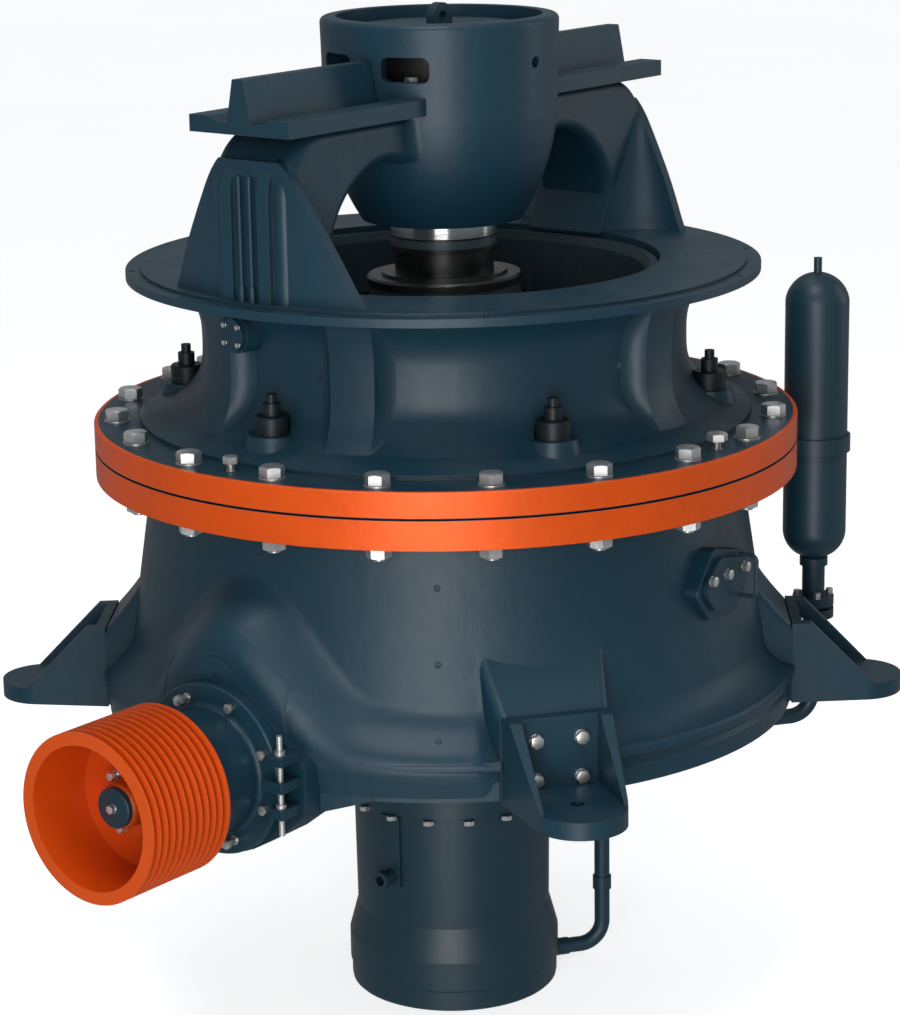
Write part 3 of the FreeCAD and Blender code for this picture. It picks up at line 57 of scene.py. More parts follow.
# Bottom shell with the hub inside it: one heavy steel casting, shot-blasted and sprayed with
# satin slate paint. It carries everything else. The rim of its round flange is painted orange,
# together with the rim of the top shell's flange that lies on it.
class Tone:
    """One socket of a material's nodes: + - * and ** on it add Math nodes, node() adds any other."""

    def __init__(self, tree, socket=None):
        self.tree = tree
        self.socket = socket

    def node(self, kind, settings=None, values=None, out=0):
        """Adds a node, makes its settings, then links or sets its sockets, and gives one output."""
        made = self.tree.nodes.new("ShaderNode" + kind)
        for name, setting in (settings or {}).items():
            setattr(made, name, setting)
        for name, value in (values or {}).items():
            if isinstance(value, Tone):
                self.tree.links.new(made.inputs[name], value.socket)
            else:
                made.inputs[name].default_value = value
        return Tone(self.tree, made.outputs[out])

    def math(self, operation, first, second):
        """A Math node on two numbers or Tones."""
        return self.node("Math", {"operation": operation}, {0: first, 1: second})

    def __add__(self, other):
        return self.math("ADD", self, other)

    __radd__ = __add__

    def __sub__(self, other):
        return self.math("SUBTRACT", self, other)

    def __rsub__(self, other):
        return self.math("SUBTRACT", other, self)

    def __mul__(self, other):
        return self.math("MULTIPLY", self, other)

    __rmul__ = __mul__

    def __pow__(self, other):
        return self.math("POWER", self, other)

    def axis(self, name):
        """The X, Y or Z share of a vector."""
        return self.node("SeparateXYZ", None, {0: self}, name)

    def off_axis(self):
        """How far the place is from the machine's axis."""
        return (self.axis("X") ** 2 + self.axis("Y") ** 2) ** 0.5

    def ramp(self, low, high):
        """0 below low, 1 above high and a smooth rise between them."""
        settings = {"interpolation_type": "SMOOTHSTEP"}
        return self.node("MapRange", settings, {"Value": self, "From Min": low, "From Max": high})

    def noise(self, scale, detail=2.0):
        """Cloudy noise, 0 to 1, with that many lumps to a metre."""
        return self.node("TexNoise", None, {"Vector": self, "Scale": scale, "Detail": detail})

    def stretched(self, shares):
        """The place with each of its axes scaled, so a pattern on it is drawn out."""
        return self.node("VectorMath", {"operation": "MULTIPLY"}, {0: self, 1: shares})

    def rounded(self, width):
        """The normal, rounded over edges to that radius."""
        return self.node("Bevel", {"samples": 2}, {"Radius": width})

    def colours(self, low, high):
        """The low colour where this is 0, the high one where it is 1."""
        return self.node("Mix", {"data_type": "RGBA"}, {0: self, 6: low, 7: high}, 2)

    def shade(self, colour):
        """A colour made darker or lighter by this number."""
        plain = colour if isinstance(colour, Tone) else colour[:3]
        return self.node("VectorMath", {"operation": "SCALE"}, {0: plain, "Scale": self})

    def bump(self, depth, normal):
        """A normal that follows this height, depth metres from 0 to 1."""
        return self.node("Bump", None, {"Height": self, "Distance": depth, "Normal": normal})


def finish(name, recipe, **fixed):
    """A material: recipe(place) gives the varying sockets, fixed those that are the same all over."""
    made = bpy.data.materials.new(name)
    made.use_nodes = True
    made.node_tree.nodes.clear()
    place = Tone(made.node_tree).node("TexCoord", out="Object")
    sockets = {key.replace("_", " "): value for key, value in fixed.items()}
    sockets.update(recipe(place))
    shader = place.node("BsdfPrincipled", None, sockets)
    end = made.node_tree.nodes.new("ShaderNodeOutputMaterial")
    made.node_tree.links.new(end.inputs["Surface"], shader.socket)
    return made


def edges(place, width, reach=0.05):
    """The rounded normal, how much the place is an outer edge, how open it is, and the true normal.

    An edge shows as the rounded normal leaning away from the true one where nothing stands close by.
    """
    soft = place.rounded(width)
    true = place.node("NewGeometry", out="Normal")
    along = place.node("VectorMath", {"operation": "DOT_PRODUCT"}, {0: soft, 1: true}, "Value")
    clear = place.node("AmbientOcclusion", {"samples": 2}, {"Distance": reach}, "AO")
    return soft, (1 - along) * clear.ramp(0.55, 0.9), clear, true


def satin_paint(place, colour, worn_and_highlit, dust):
    """Sprayed paint: cloudy tone, pale on edges as wear and painted highlight, dull dust on top,
    painted shade in corners.
    """
    soft, lean, clear, true = edges(place, 0.004)
    cloud = place.noise(1.6, 2.0)
    lumps = place.noise(24.0, 3.0)
    peel = place.noise(230.0, 0.0)
    # Pale along open outer edges: worn paint, and a painted highlight along the edges.
    rubbed = (lean * (0.4 + lumps)).ramp(0.015, 0.11)
    lying = true.axis("Z").ramp(0.6, 0.98) * place.noise(5.0, 5.0).ramp(0.35, 0.75)
    # Painted shade: the colour is darkened by up to 38 percent in corners and creases, where little is
    # open round the place.
    corner_shade = clear.ramp(0.2, 0.95)
    sprayed = (0.72 + 0.36 * cloud + 0.1 * lumps).shade(colour)
    sprayed = (0.62 + 0.38 * corner_shade).shade(sprayed)
    sprayed = (lying * 0.35).colours(sprayed, dust)
    sprayed = (rubbed * 0.6).colours(sprayed, worn_and_highlit)
    return {
        "Base Color": sprayed,
        "Roughness": 0.32 + 0.14 * cloud + 0.18 * lying + 0.1 * lumps,
        "Normal": (lumps + 0.06 * peel).bump(0.0011, soft),
    }


slate = (0.0070, 0.0410, 0.0670, 1.0)
slate_edge = (0.045, 0.090, 0.120, 1.0)
slate_dust = (0.045, 0.070, 0.085, 1.0)
orange = (0.960, 0.110, 0.003, 1.0)
orange_edge = (0.800, 0.150, 0.030, 1.0)
rim_radius = 0.9875
rim_low = 0.6895
rim_high = 0.8475
seam_low = 0.7702
seam_high = 0.7775


def shell_recipe(place):
    """Satin slate, orange far out on the flanges' rims between their faces, slate as painted shade in
    their groove.
    """
    height = place.axis("Z")
    rim = place.off_axis().ramp(rim_radius, rim_radius + 0.0006)
    rim = rim * height.ramp(rim_low, rim_low + 0.001) * (1 - height.ramp(rim_high - 0.001, rim_high))
    # Painted shade: the groove between the two flanges stays slate instead of orange, as a dark line
    # of shade.
    seam = height.ramp(seam_low, seam_low + 0.0006) * (1 - height.ramp(seam_high, seam_high + 0.0006))
    rim = rim * (1 - seam)
    colour = rim.colours(slate, orange)
    worn_and_highlit = rim.colours(slate_edge, orange_edge)
    dust = rim.colours(slate_dust, orange_edge)
    sockets = satin_paint(place, colour, worn_and_highlit, dust)
    sockets["Metallic"] = rim * 0.35
    return sockets


casting_paint = finish("casting_paint", shell_recipe,
                       Coat_Weight=0.08, Coat_Roughness=0.3, Specular_IOR_Level=0.42)


def dress(material, *names):
    """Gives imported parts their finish."""
    for name in names:
        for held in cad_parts[name].material_slots:
            held.material = material


dress(casting_paint, "bottomshell", "shell_hub")


# Four feet: welded steel shoes with two ribs each, bolted through the back plate to the
# shell's brackets with four zinc-plated hexagon bolts on thick washers, painted with the shell.
bolt_points = 24


def circle(count):
    """Turns of that many points spread evenly on a circle."""
    return np.arange(count) * 2 * np.pi / count


def rings(radii, heights, count=bolt_points):
    """Rings of points about Z: ring i has radius radii[i] at heights[i], numbers or one a point."""
    turns = circle(count)
    radius = np.stack([np.broadcast_to(r, count) for r in radii])
    height = np.stack([np.broadcast_to(z, count) for z in heights])
    return np.stack([radius * np.cos(turns), radius * np.sin(turns), height], axis=-1)


def corners(flats):
    """A hexagon's radius at each turn, the radius its corners are turned to, and their cone's drop.

    The radius is half the width across the flats over the cosine of the angle from the nearest
    flat, and the cone falls at 30 degrees.
    """
    six = flats / 2 / np.cos((circle(bolt_points) + np.pi / 6) % (np.pi / 3) - np.pi / 6)
    crown = 0.47 * flats
    return six, crown, (six - crown) * np.tan(np.pi / 6)


def bolt(flats, head, washer, thick, shank=0.0, stand=0.0):
    """A washer, a bare shank if the bolt stands off, and a hexagon head with turned corners."""
    six, crown, drop = corners(flats)
    lip = 0.12 * thick + 0.0003
    foot = thick + stand
    radii = [washer, washer, washer - lip]
    heights = [0.0, thick - lip, thick]
    if stand:
        radii += [shank, shank]
        heights += [thick, foot]
    radii += [crown, six, six, crown]
    heights += [foot, foot + 0.04 * head, foot + head - drop, foot + head]
    return rings(radii, heights)


def seated(skin, places, outs, spin=0.0):
    """Copies of a skin, one at each place.

    Each point goes to its place + x side + y up + z out, with side and up square to the copy's axis.
    """
    places = np.atleast_2d(places)
    outs = np.broadcast_to(outs, places.shape).astype(float)
    flat = np.abs(outs[:, 2:]) > 0.9
    side = np.cross(np.where(flat, (0.0, 1.0, 0.0), (0.0, 0.0, 1.0)), outs)
    side /= np.linalg.norm(side, axis=1, keepdims=True)
    up = np.cross(outs, side)
    turn = np.broadcast_to(spin, len(places))[:, None]
    across = np.cos(turn) * side + np.sin(turn) * up
    along = np.cos(turn) * up - np.sin(turn) * side
    axes = np.stack([across, along, outs], axis=1)
    return places[:, None, None, :] + np.einsum("kmd,ndc->nkmc", skin, axes)


def skinned(name, copies, material, body):
    """One piece from rings of points.

    Quads join neighbouring points of neighbouring rings, and one face closes each end.
    """
    count, rows, columns = copies.shape[:3]
    point = np.arange(count * rows * columns).reshape(count, rows, columns)
    near = np.roll(point, -1, axis=2)
    quads = np.stack([point[:, :-1], near[:, :-1], near[:, 1:], point[:, 1:]], axis=-1).reshape(-1, 4)
    ends = np.concatenate([point[:, 0, ::-1], point[:, -1]])
    mesh = bpy.data.meshes.new(name)
    mesh.from_pydata(copies.reshape(-1, 3).tolist(), [], quads.tolist() + ends.tolist())
    mesh.shade_smooth()
    mesh.set_sharp_from_angle(angle=np.radians(34))
    mesh.materials.append(material)
    piece = bpy.data.objects.new(name, mesh)
    bpy.context.scene.collection.objects.link(piece)
    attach(piece, body)
    return piece


def around(azimuths, radius, height):
    """Places on a circle about the machine's axis, azimuth 0 towards -Y and growing towards +X."""
    turns = np.radians(azimuths)
    level = np.broadcast_to(height, turns.shape)
    return np.stack([radius * np.sin(turns), -radius * np.cos(turns), level], axis=-1)


def outward(azimuths):
    """Unit vectors from the axis at those azimuths."""
    return around(azimuths, 1.0, 0.0)


def zinc_recipe(place):
    """Bright zinc plate: faint cloudy passivation, fine handling marks, rubbed brighter on edges,
    painted shade in hollows.
    """
    soft, lean, clear, _ = edges(place, 0.0012)
    cloud = place.noise(60.0, 3.0)
    marks = place.stretched((1.0, 1.0, 6.0)).noise(420.0, 2.0)
    plate = cloud.colours((0.66, 0.68, 0.69, 1.0), (0.86, 0.86, 0.84, 1.0))
    # Painted shade: the plate goes to dark grey where little is open round the place, in hollows and
    # where parts meet.
    plate = clear.ramp(0.2, 0.8).colours((0.22, 0.22, 0.22, 1.0), plate)
    return {
        "Base Color": lean.ramp(0.02, 0.2).colours(plate, (0.93, 0.93, 0.92, 1.0)),
        "Roughness": 0.24 + 0.14 * cloud + 0.06 * marks,
        "Normal": marks.bump(0.00006, soft),
    }


zinc = finish("bright_zinc", zinc_recipe, Metallic=0.85)


def bolted(name, skin, places, outs, spin, body="frame"):
    """Zinc-plated bolts or nuts at those places, each turned by its spin about its axis."""
    skinned(name, seated(skin, places, outs, spin), zinc, body)


foot_azimuths = {"front_right": 54.0, "back_right": 126.0, "back_left": 234.0, "front_left": 306.0}
foot_face = 1.015
foot_bolt_across = 0.0625
foot_bolt_levels = (0.067, 0.175)
foot_bolt_spins = np.array([0.2, 0.9, 0.5, 1.3])
foot_bolt = bolt(flats=0.034, head=0.015, washer=0.0195, thick=0.003)

dress(casting_paint, "foot_front_right", "foot_back_right", "foot_back_left", "foot_front_left")
for corner, azimuth in foot_azimuths.items():
    grids = np.meshgrid(foot_bolt_levels, (-foot_bolt_across, foot_bolt_across))
    level, across = [grid.ravel() for grid in grids]
    foot_out = outward(np.full(4, azimuth))
    sideways = outward(np.full(4, azimuth + 90.0))
    foot_places = around(np.full(4, azimuth), foot_face, level) + across[:, None] * sideways
    bolted("foot_bolts_" + corner, foot_bolt, foot_places, foot_out, foot_bolt_spins)


# Inspection cover: a six-sided pressed steel plate with a bent-rod handle, held on the
# shell's raised pad by three bolts in a row.
dress(casting_paint, "access_cover")
cover_azimuth = 93.5
cover_face = 0.919
cover_bolt_level = 0.483
cover_bolt_row = np.array([[-0.082], [0.002], [0.098]])
cover_out = outward(np.full(3, cover_azimuth))
cover_along = outward(np.full(3, cover_azimuth + 90.0))
cover_places = cover_face * cover_out + cover_bolt_row * cover_along
cover_places[:, 2] = cover_bolt_level
bolted("cover_bolts", bolt(flats=0.026, head=0.013, washer=0.015, thick=0.003),
       cover_places, cover_out, 0.4)


# Hydraulic cylinder under the shell: a turned steel body with its lid, hung from the
# shell's hub by sixteen bolts, with a stiffening plate and an oil port welded on.
machined_slate = (0.0080, 0.0380, 0.0580, 1.0)


def forged_recipe(place):
    """The same slate paint on machined steel: smoother than on a casting, with faint turning rings."""
    sockets = satin_paint(place, machined_slate, slate_edge, slate_dust)
    turned = place.stretched((0.02, 0.02, 1.0)).noise(700.0, 1.0)
    peel = place.noise(260.0, 1.0)
    sockets["Normal"] = (turned + 0.5 * peel).bump(0.00009, place.rounded(0.003))
    return sockets


machined_paint = finish("machined_paint", forged_recipe,
                        Coat_Weight=0.08, Coat_Roughness=0.3, Specular_IOR_Level=0.45)
dress(machined_paint, "hydroset_cylinder", "cylinder_cover", "bottom_cover", "strap_plate",
      "oil_port", "cylinder_port")

down = (0, 0, -1)
seam_azimuths = 2.0 + np.arange(16) * 22.5
seam_circle = 0.297
seam_level = -0.3005
bolted("cylinder_bolts", bolt(flats=0.029, head=0.012, washer=0.0165, thick=0.0015),
       around(seam_azimuths, seam_circle, seam_level), down, 0.3)

lid_azimuths = 11.0 + np.arange(12) * 30.0
lid_circle = 0.262
lid_recess = 0.010
lid_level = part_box("cylinder_cover")[0][2] + lid_recess
bolted("lid_bolts", bolt(flats=0.024, head=0.010, washer=0.013, thick=0.0),
       around(lid_azimuths, lid_circle, lid_level), down, 0.1)


# Drive hood: the shell's wall swells out over the drive shaft's bore and flows down on both
# sides into the skirt's upper edge, all in the one casting. Four small plugs close threaded
# holes in the wall beside it.
drive_level = 0.053
bore_clearance = 0.205
bore_raise = 0.02
skirt_swell = 1.003
skirt_draft = 0.012
draft_top = 0.09
draft_height = 0.07
arc_radius = 0.97
hood_top = 0.675
hood_foot = 0.02
blend_outside = 0.120
blend_width = 0.180
swell_end = 0.785
swell_fade = 0.07
wall_cover = 0.0012
wall_dip = 0.003
dip_start = 0.58
dip_width = 0.20
wall_depth = 0.016
wall_level = np.array([0.02, 0.08, 0.10, 0.11, 0.14, 0.155, 0.17, 0.185, 0.20, 0.23, 0.70])
wall_radius = np.array([0.986, 0.983, 0.983, 0.986, 0.951, 0.9365, 0.927, 0.9205, 0.9165,
                        0.912, 0.8405])
crest_arc = np.array([0.0, 0.03, 0.06, 0.09, 0.14, 0.20, 0.25, 0.29, 0.335, 0.38, 0.44,
                      0.51, 0.60, 0.82])
crest_level = np.array([0.450, 0.446, 0.436, 0.416, 0.368, 0.303, 0.248, 0.207, 0.172, 0.150,
                        0.136, 0.128, 0.121, 0.114])


def hood_radius(arc, level):
    """Radius of the hood's skin at an arc length from the drive's side and a height.

    It covers the wall closely and swells out to the skirt's radius below the crest line, by a smooth
    step of the distance to it. The crest line falls from a round top over the drive into the skirt's
    upper edge. Beside the feet the skin dips very slowly into the wall.
    """
    line_arc = np.linspace(0.0, crest_arc[-1], 165)
    line = np.interp(line_arc, crest_arc, crest_level)
    padded = np.concatenate([line[8:0:-1], line, np.full(8, line[-1])])
    line = np.convolve(padded, np.full(17, 1 / 17), "valid")
    gap = np.hypot(arc[..., None] - line_arc, level[..., None] - line).min(axis=-1)
    inside = np.where(level < np.interp(arc, line_arc, line), gap, -gap)
    step = np.clip((inside + blend_outside) / blend_width, 0.0, 1.0)
    step = step * step * (3 - 2 * step)
    far = np.clip((arc - dip_start) / dip_width, 0.0, 1.0) ** 2
    ending = np.clip((swell_end - arc) / swell_fade, 0.0, 1.0)
    wall = np.interp(level, wall_level, wall_radius)
    swell = skirt_swell - skirt_draft * np.clip((draft_top - level) / draft_height, 0.0, 1.0)
    return wall + wall_cover - wall_dip * far + (swell - wall) * step * ending


def hood_section(angles, shares):
    """Points of the hood's skin: at each azimuth down the outer face and back up inside the wall.

    It stops at the housing's round flange: there its lower edge is a half circle about the drive.
    """
    arc = np.abs(angles) * arc_radius
    bore = drive_level + bore_raise + np.sqrt(np.maximum(bore_clearance ** 2 - arc ** 2, 0.0))
    lower = np.where(arc < bore_clearance, bore, hood_foot)
    level = hood_top + (lower - hood_top)[:, None] * shares[None, :]
    radius = hood_radius(arc[:, None] + 0 * level, level)
    wall = np.interp(level, wall_level, wall_radius)
    radius = np.concatenate([radius, wall[:, ::-3] - wall_depth], axis=1)
    level = np.concatenate([level, level[:, ::-3]], axis=1)
    angles = angles[:, None]
    return np.stack([radius * np.sin(angles), -radius * np.cos(angles), level], axis=-1)


hood_angles = np.radians(np.linspace(-46.5, 46.5, 187))
skinned("drive_hood_skin", hood_section(hood_angles, np.linspace(0.0, 1.0, 84))[None],
        casting_paint, "frame")

plug_azimuths = np.array([36.0, 36.0, 36.0, 2.0])
plug_levels = np.array([0.554, 0.354, 0.164, 0.600])
plug_radii = hood_radius(np.radians(plug_azimuths) * arc_radius, plug_levels)
plug_skin = bolt(flats=0.011, head=0.0015, washer=0.0095, thick=0.0022)
plugs = seated(plug_skin, around(plug_azimuths, plug_radii, plug_levels), outward(plug_azimuths))
skinned("shell_plugs", plugs, casting_paint, "frame")


# Drive shaft housing: a flanged casting in the shell's bore, with eight bolts in slots so that
# it can be turned a little for the gear's backlash, and a threaded rod at its side that sets the
# turn. Two of the bolts stand off as jacking screws.
dress(casting_paint, "pinion_housing")
to_pulley = (0, -1, 0)
flange_face = -1.041
slot_circle = 0.200
slot_turns = np.radians(22.5 + 45.0 * np.arange(8))


def on_drive(turns, radius, y):
    """Places on a circle about the drive shaft, turn 0 upwards and growing towards +X."""
    level = drive_level + radius * np.cos(turns)
    return np.stack([radius * np.sin(turns), np.full(turns.shape, y), level], axis=-1)


slots = on_drive(slot_turns, slot_circle, flange_face)
jacks = np.array([3, 7])
bolted("housing_bolts", bolt(flats=0.024, head=0.013, washer=0.0125, thick=0.0),
       np.delete(slots, jacks, axis=0), to_pulley, 0.5)
bolted("housing_jacks",
       bolt(flats=0.027, head=0.016, washer=0.0135, thick=0.002, shank=0.009, stand=0.022),
       slots[jacks], to_pulley, 0.2)
thread_rate = 3141.6


def screw_recipe(place):
    """Zinc as on the bolts, with a thread of 2 mm pitch rolled on the bare rod."""
    sockets = zinc_recipe(place)
    pitch = place.node("Math", {"operation": "SINE"}, {0: place.axis("Z") * thread_rate})
    sockets["Normal"] = pitch.bump(0.00015, place.rounded(0.0012))
    return sockets


dress(finish("threaded_zinc", screw_recipe, Metallic=0.8), "adjusting_screw")


# Belt pulley: an iron casting with eleven vee grooves turned in its rim, painted orange,
# clamped on the shaft by a taper bushing with three screws. Its hub stands out as a collar,
# and a dark painted disc with one bolt closes the shaft's end.
def pulley_recipe(place):
    """Gloss orange: painted shade deep inside, thin on edges, a few specks, turning rings on the rim.
    """
    soft, lean, clear, _ = edges(place, 0.0016, reach=0.30)
    cloud = place.noise(3.0, 2.0)
    specks = place.noise(90.0, 3.0)
    colour = (0.80 + 0.28 * cloud).shade(orange)
    # Painted shade: the orange goes to dark brown where much stands close round the place, deep in the
    # grooves and recesses.
    colour = clear.ramp(0.05, 0.75).colours((0.36, 0.045, 0.002, 1.0), colour)
    colour = (lean.ramp(0.01, 0.12) * 0.7).colours(colour, (0.90, 0.24, 0.07, 1.0))
    colour = (specks.ramp(0.72, 0.80) * 0.25).colours(colour, (0.20, 0.05, 0.02, 1.0))
    turned = place.stretched((0.02, 1.0, 0.02)).noise(900.0, 1.0)
    return {
        "Base Color": colour,
        "Roughness": 0.30 + 0.12 * cloud + 0.10 * specks,
        "Normal": (turned + specks).bump(0.00008, soft),
    }


pulley_paint = finish("pulley_paint", pulley_recipe,
                      Metallic=0.25, Coat_Weight=0.1, Coat_Roughness=0.2)
dress(pulley_paint, "pulley", "pulley_bushing")
hub_front = -1.344
disc_points = 48
shaft_end = on_drive(np.zeros(1), 0.0, hub_front)

collar = rings([0.0665, 0.0665, 0.063, 0.061, 0.058],
               [-0.004, 0.002, 0.006, 0.046, 0.050], disc_points)
skinned("hub_boss", seated(collar, shaft_end, to_pulley),
        pulley_paint, "pinionshaft")
spacer = rings([0.0535, 0.0535], [0.0495, 0.0535], disc_points)
skinned("end_cap_spacer", seated(spacer, shaft_end, to_pulley), zinc, "pinionshaft")
disc = rings([0.053, 0.0545, 0.0545, 0.0525, 0.018, 0.0165],
             [0.0535, 0.055, 0.069, 0.071, 0.071, 0.072], disc_points)
end_cap = skinned("end_cap_plate", seated(disc, shaft_end, to_pulley),
                  machined_paint, "pinionshaft")
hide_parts("shaft_end_cap")

bushing_turns = np.radians(np.array([320.0, 80.0, 200.0]))
bushing_circle = 0.081
bushing_screw = bolt(flats=0.022, head=0.014, washer=0.013, thick=0.006, shank=0.008, stand=0.008)
bolted("bushing_screws", bushing_screw, on_drive(bushing_turns, bushing_circle, hub_front),
       to_pulley, 0.3, "pinionshaft")
disc_front = 0.0718
bolted("end_cap_bolt", bolt(flats=0.021, head=0.013, washer=0.013, thick=0.001),
       on_drive(np.zeros(1), 0.0, hub_front - disc_front), to_pulley, 0.1, "pinionshaft")


# Working parts inside: the main shaft with its sleeve, nut and head, the eccentric with its
# gear, the drive shaft, and the piston with its step washer, all of forged and turned steel
# that is left bare and oily.
def oiled_recipe(place):
    """Turned steel under dark oil: fine rings round the axis and oil that dulls it in places."""
    soft, lean, clear, _ = edges(place, 0.0015)
    turned = place.stretched((0.03, 0.03, 1.0)).noise(600.0, 2.0)
    film = place.noise(9.0, 4.0)
    colour = film.ramp(0.3, 0.75).colours((0.030, 0.031, 0.032, 1.0), (0.085, 0.085, 0.085, 1.0))
    colour = (lean.ramp(0.01, 0.15) * clear).colours(colour, (0.35, 0.35, 0.35, 1.0))
    return {
        "Base Color": colour,
        "Roughness": 0.20 + 0.16 * film + 0.08 * turned,
        "Normal": turned.bump(0.00012, soft),
    }


def sleeve_recipe(place):
    """Dark oily steel, ground bright where it runs in the bushing, with a grey ring below that."""
    sockets = oiled_recipe(place)
    height = place.axis("Z")
    bright = height.ramp(1.3530, 1.3545)
    ring = height.ramp(1.3240, 1.3250) * (1 - height.ramp(1.3470, 1.3480))
    colour = ring.colours((0.010, 0.012, 0.014, 1.0), (0.050, 0.075, 0.090, 1.0))
    sockets["Base Color"] = bright.colours(colour, (0.62, 0.63, 0.64, 1.0))
    sockets["Roughness"] = 0.30 + 0.08 * ring - 0.16 * bright
    sockets["Metallic"] = 0.2 + 0.7 * bright
    return sockets


oiled = finish("oiled_steel", oiled_recipe, Metallic=0.85)
dress(finish("ground_sleeve", sleeve_recipe), "shaft_sleeve")
dress(oiled, "main_shaft", "head_nut", "head", "step_washer", "hydroset_piston", "pinion_shaft",
      "eccentric", "gear_ring")


# Bearing bushings: the spider's on the shaft's upper end and the one round the eccentric,
# cast in bronze and bored.
def bronze_recipe(place):
    """Cast bearing bronze, bored bright and stained by oil, with painted shade in its hollows."""
    soft, lean, clear, _ = edges(place, 0.0015)
    stain = place.noise(14.0, 4.0)
    boring = place.stretched((0.03, 0.03, 1.0)).noise(500.0, 2.0)
    colour = stain.ramp(0.35, 0.7).colours((0.20, 0.105, 0.035, 1.0), (0.50, 0.30, 0.12, 1.0))
    return {
        # Painted shade: the bronze is darkened by up to half where little is open round the place.
        "Base Color": (0.5 + 0.5 * clear).shade(colour),
        "Roughness": 0.26 + 0.2 * stain,
        "Normal": (boring + 0.4 * lean).bump(0.0001, soft),
    }


dress(finish("bearing_bronze", bronze_recipe, Metallic=1.0), "spider_bushing", "outer_bushing")


# Crushing liners: the mantle on the head and the concave in the top shell, manganese steel
# castings that are used as cast. Rock has scoured them downwards.
def manganese_recipe(place):
    """As-cast slate-grey skin, with bright scratches drawn out down the lower chamber, and painted
    shade in hollows.
    """
    soft, lean, clear, _ = edges(place, 0.004)
    skin = place.noise(30.0, 5.0)
    scour = place.stretched((1.0, 1.0, 0.07)).noise(60.0, 3.0)
    bright = scour.ramp(0.5, 0.75) * (1 - place.axis("Z").ramp(1.05, 1.22))
    colour = skin.colours((0.018, 0.038, 0.052, 1.0), (0.036, 0.066, 0.084, 1.0))
    colour = (bright * 0.3 + lean.ramp(0.02, 0.2) * 0.3).colours(colour, (0.20, 0.21, 0.22, 1.0))
    return {
        # Painted shade: the skin is darkened by up to half where little is open round the place.
        "Base Color": (0.5 + 0.5 * clear).shade(colour),
        "Roughness": 0.50 - 0.2 * bright + 0.12 * skin,
        "Normal": (0.6 * skin + 0.3 * scour).bump(0.0014, soft),
    }


dress(finish("manganese_steel", manganese_recipe, Metallic=0.35), "concave", "mantle")


# Top shell and spider: one tall casting with the feed flange, the two arms and the hub that
# holds the shaft's upper bearing. Twenty bolts hold its flange down on the bottom shell's, and
# four jacking screws can lift it off.
dress(casting_paint, "topshell", "neck_cover")
up = (0, 0, 1)
joint_top = 0.846
joint_bottom = 0.691
joint_circle = 0.935
jacking_circle = 0.920
joint_azimuths = 9.0 + np.arange(20) * 18.0
joint_spins = 0.35 + 1.7 * np.arange(20) % 1.05
bolted("flange_bolts", bolt(flats=0.060, head=0.030, washer=0.036, thick=0.005),
       around(joint_azimuths, joint_circle, joint_top), up, joint_spins)


def nut(flats, height, washer, thick, thread, proud):
    """A washer, a nut with the corners of both ends turned off, and its stud standing proud."""
    six, crown, drop = corners(flats)
    tip = 0.15 * thread
    top = thick + height
    radii = [washer, washer, crown, six, six, crown, thread, thread, thread - tip]
    heights = [0.0, thick, thick, thick + drop, top - drop, top, top, top + proud - tip, top + proud]
    return rings(radii, heights)


bolted("flange_nuts",
       nut(flats=0.060, height=0.030, washer=0.036, thick=0.005, thread=0.019, proud=0.008),
       around(joint_azimuths, joint_circle, joint_bottom), down, joint_spins)
bolted("jacking_screws_ends",
       bolt(flats=0.038, head=0.020, washer=0.014, thick=0.002, shank=0.0115, stand=0.018),
       around(np.array([0.0, 180.0]), jacking_circle, joint_top), up, 0.5)
bolted("jacking_screws_sides",
       bolt(flats=0.050, head=0.022, washer=0.016, thick=0.002, shank=0.0115, stand=0.020),
       around(np.array([90.0, 270.0]), jacking_circle, joint_top), up, 0.2)


# Fittings on the collar: blackened steel clamping studs in their bosses, a small cover on
# the neck with four screws, and the grease lines up the arm's leg, painted over.
def black_recipe(place):
    """Black oxide over steel, finely grained and rubbed grey on edges."""
    soft, lean, clear, _ = edges(place, 0.001)
    cloud = place.noise(40.0, 3.0)
    colour = cloud.colours((0.007, 0.011, 0.014, 1.0), (0.018, 0.027, 0.034, 1.0))
    colour = (lean.ramp(0.02, 0.2) * clear).colours(colour, (0.15, 0.16, 0.17, 1.0))
    return {
        "Base Color": colour,
        "Roughness": 0.34 + 0.2 * cloud,
        "Normal": place.noise(500.0, 1.0).bump(0.00015, soft),
    }


dress(finish("black_oxide", black_recipe, Metallic=0.4), "clamp_studs")

neck_azimuth = -10.5
neck_face = 0.7602
neck_level = 1.165
neck_shift = np.array([-0.029, 0.029, -0.029, 0.029])
neck_rise = np.array([-0.024, -0.024, 0.024, 0.024])
neck_out = outward(np.full(4, neck_azimuth))
neck_along = outward(np.full(4, neck_azimuth + 90.0))
neck_places = neck_face * neck_out + neck_shift[:, None] * neck_along
neck_places[:, 2] = neck_level + neck_rise
bolted("neck_cover_bolts", bolt(flats=0.013, head=0.006, washer=0.008, thick=0.0012),
       neck_places, neck_out, 0.3)

dress(casting_paint, "grease_lines")


# Spider cap and arm shields: the cap closes the upper bearing and is bolted down inside the
# hub, the shields are cast saddles that keep rock off the arms.
dress(casting_paint, "arm_shield_front", "arm_shield_back")
cap_ledge = 1.778
cap_bolt_circle = 0.2615
cap_azimuths = np.array([21.0, 69.0, 111.0, 159.0, 201.0, 249.0, 291.0, 339.0])


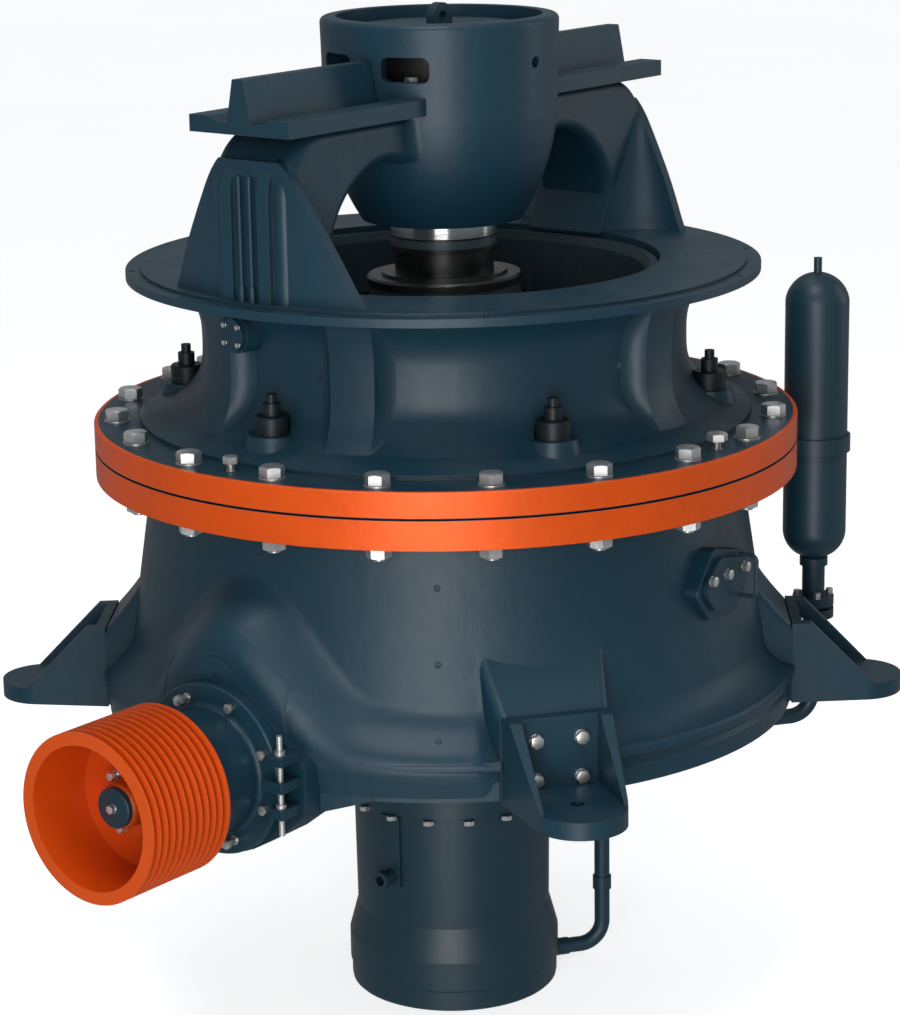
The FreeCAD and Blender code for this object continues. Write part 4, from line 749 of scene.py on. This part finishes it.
def cap_recipe(place):
    """Slate paint, and bare oily steel on the side of the bell, near-black as painted shade in the
    hub's windows.
    """
    sockets = shell_recipe(place)
    height = place.axis("Z")
    side = 1 - place.off_axis().ramp(0.2385, 0.2395)
    side = side * height.ramp(cap_ledge + 0.001, cap_ledge + 0.003) * (1 - height.ramp(1.915, 1.919))
    # Painted shade: the bell's side is near-black bare steel, so the hub's windows look dark inside.
    sockets["Base Color"] = side.colours(sockets["Base Color"], (0.018, 0.018, 0.019, 1.0))
    sockets["Metallic"] = side * 0.8
    return sockets


dress(finish("cap_paint_and_window_shade", cap_recipe, Specular_IOR_Level=0.42), "spider_cap")
bolted("cap_bolts", bolt(flats=0.036, head=0.030, washer=0.021, thick=0.007),
       around(cap_azimuths, cap_bolt_circle, cap_ledge), up, 0.4)


# Gas bottle: a drawn steel shell with a round dome, clamped to the shell's arm, with its
# valve block below, held by four bolts, and a bent steel pipe to the cylinder.
dress(machined_paint, "accumulator", "accumulator_clamp", "accumulator_valve", "cylinder_pipe")
bottle_axis = around(np.array([144.2]), 1.145, 0.0)
valve_circle = 0.050
valve_top = 0.178
valve_places = bottle_axis + around(135.0 + 90.0 * np.arange(4), valve_circle, valve_top)
bolted("valve_bolts", bolt(flats=0.019, head=0.016, washer=0.0115, thick=0.002),
       valve_places, up, 0.2)


# Floor, light and camera: a pale floor that bends up far behind into a pale wall all round, a
# large soft light beside the camera, one above in front, and weak ones on the right and behind.
# The floor and the wall are there for the eye only, so the paint doesn't mirror them.
floor_level = float(cad_box[0][2]) - 0.001
floor_radius = 40.0
wall_height = 30.0
floor_rings = 24
floor_points = 96


def floor_recipe(place):
    """Pale matt floor with hardly any tone, lit a little from within."""
    tone = place.noise(0.4).colours((0.90, 0.90, 0.90, 1.0), (0.93, 0.93, 0.93, 1.0))
    return {"Base Color": tone, "Emission Color": tone}


def bowl(radius, height, level):
    """Rings about Z: the radius grows out to the wall, then the height grows ever faster."""
    share = np.linspace(0.0, 1.0, floor_rings)
    out = radius * np.minimum(1.0, 0.02 + 1.3 * share)
    rise = level + height * np.maximum(0.0, share - 0.6) ** 2 / 0.16
    return rings(out, rise, floor_points)


point = np.arange(floor_rings * floor_points).reshape(floor_rings, floor_points)
near = np.roll(point, -1, axis=1)
quads = np.stack([point[:-1], point[1:], near[1:], near[:-1]], axis=-1).reshape(-1, 4)
floor_mesh = bpy.data.meshes.new("floor")
floor_mesh.from_pydata(bowl(floor_radius, wall_height, floor_level).reshape(-1, 3).tolist(), [],
                       quads.tolist() + [point[0].tolist()])
floor_mesh.shade_smooth()
floor_mesh.materials.append(
    finish("pale_floor", floor_recipe, Roughness=0.9, Emission_Strength=0.78))
floor = bpy.data.objects.new("floor", floor_mesh)
floor.visible_glossy = False
floor.visible_shadow = False
floor.visible_diffuse = False
bpy.context.scene.collection.objects.link(floor)


def soft_light(name, azimuth, height, distance, size, power):
    """A rectangular light at that azimuth and height, turned to the middle of the machine."""
    lamp = bpy.data.lights.new(name, "AREA")
    lamp.shape = "RECTANGLE"
    lamp.size, lamp.size_y = size
    lamp.energy = power
    holder = bpy.data.objects.new(name, lamp)
    holder.location = around(np.array(azimuth), distance, height)
    holder.rotation_euler = (np.arctan2(distance, height - 0.5), 0.0, np.radians(azimuth))
    holder.visible_camera = False
    bpy.context.scene.collection.objects.link(holder)


soft_light("key_light", azimuth=33.0, height=0.5, distance=9.5, size=(4.5, 7.4), power=500.0)
soft_light("overhead_light", azimuth=28.0, height=7.6, distance=3.2, size=(3.0, 3.0), power=190.0)
soft_light("right_light", azimuth=140.0, height=2.5, distance=7.0, size=(1.0, 5.0), power=40.0)
soft_light("back_light", azimuth=235.0, height=8.0, distance=2.5, size=(2.5, 2.5), power=30.0)

world = bpy.data.worlds.new("studio")
world.use_nodes = True
world.node_tree.nodes["Background"].inputs["Color"].default_value = (0.92, 0.96, 1.0, 1.0)
world.node_tree.nodes["Background"].inputs["Strength"].default_value = 0.27
bpy.context.scene.world = world
bpy.context.scene.view_settings.view_transform = "Standard"

lens = bpy.data.cameras.new("camera")
lens.sensor_fit = "VERTICAL"
lens.sensor_height = 36.0
lens.lens = 107.15
lens.clip_end = 100.0
camera = bpy.data.objects.new("camera", lens)
camera.location = (5.1949, -6.6492, 2.7258)
camera.rotation_euler = np.radians((75.5338, 0.9031, 37.7134))
bpy.context.scene.collection.objects.link(camera)
bpy.context.scene.camera = camera
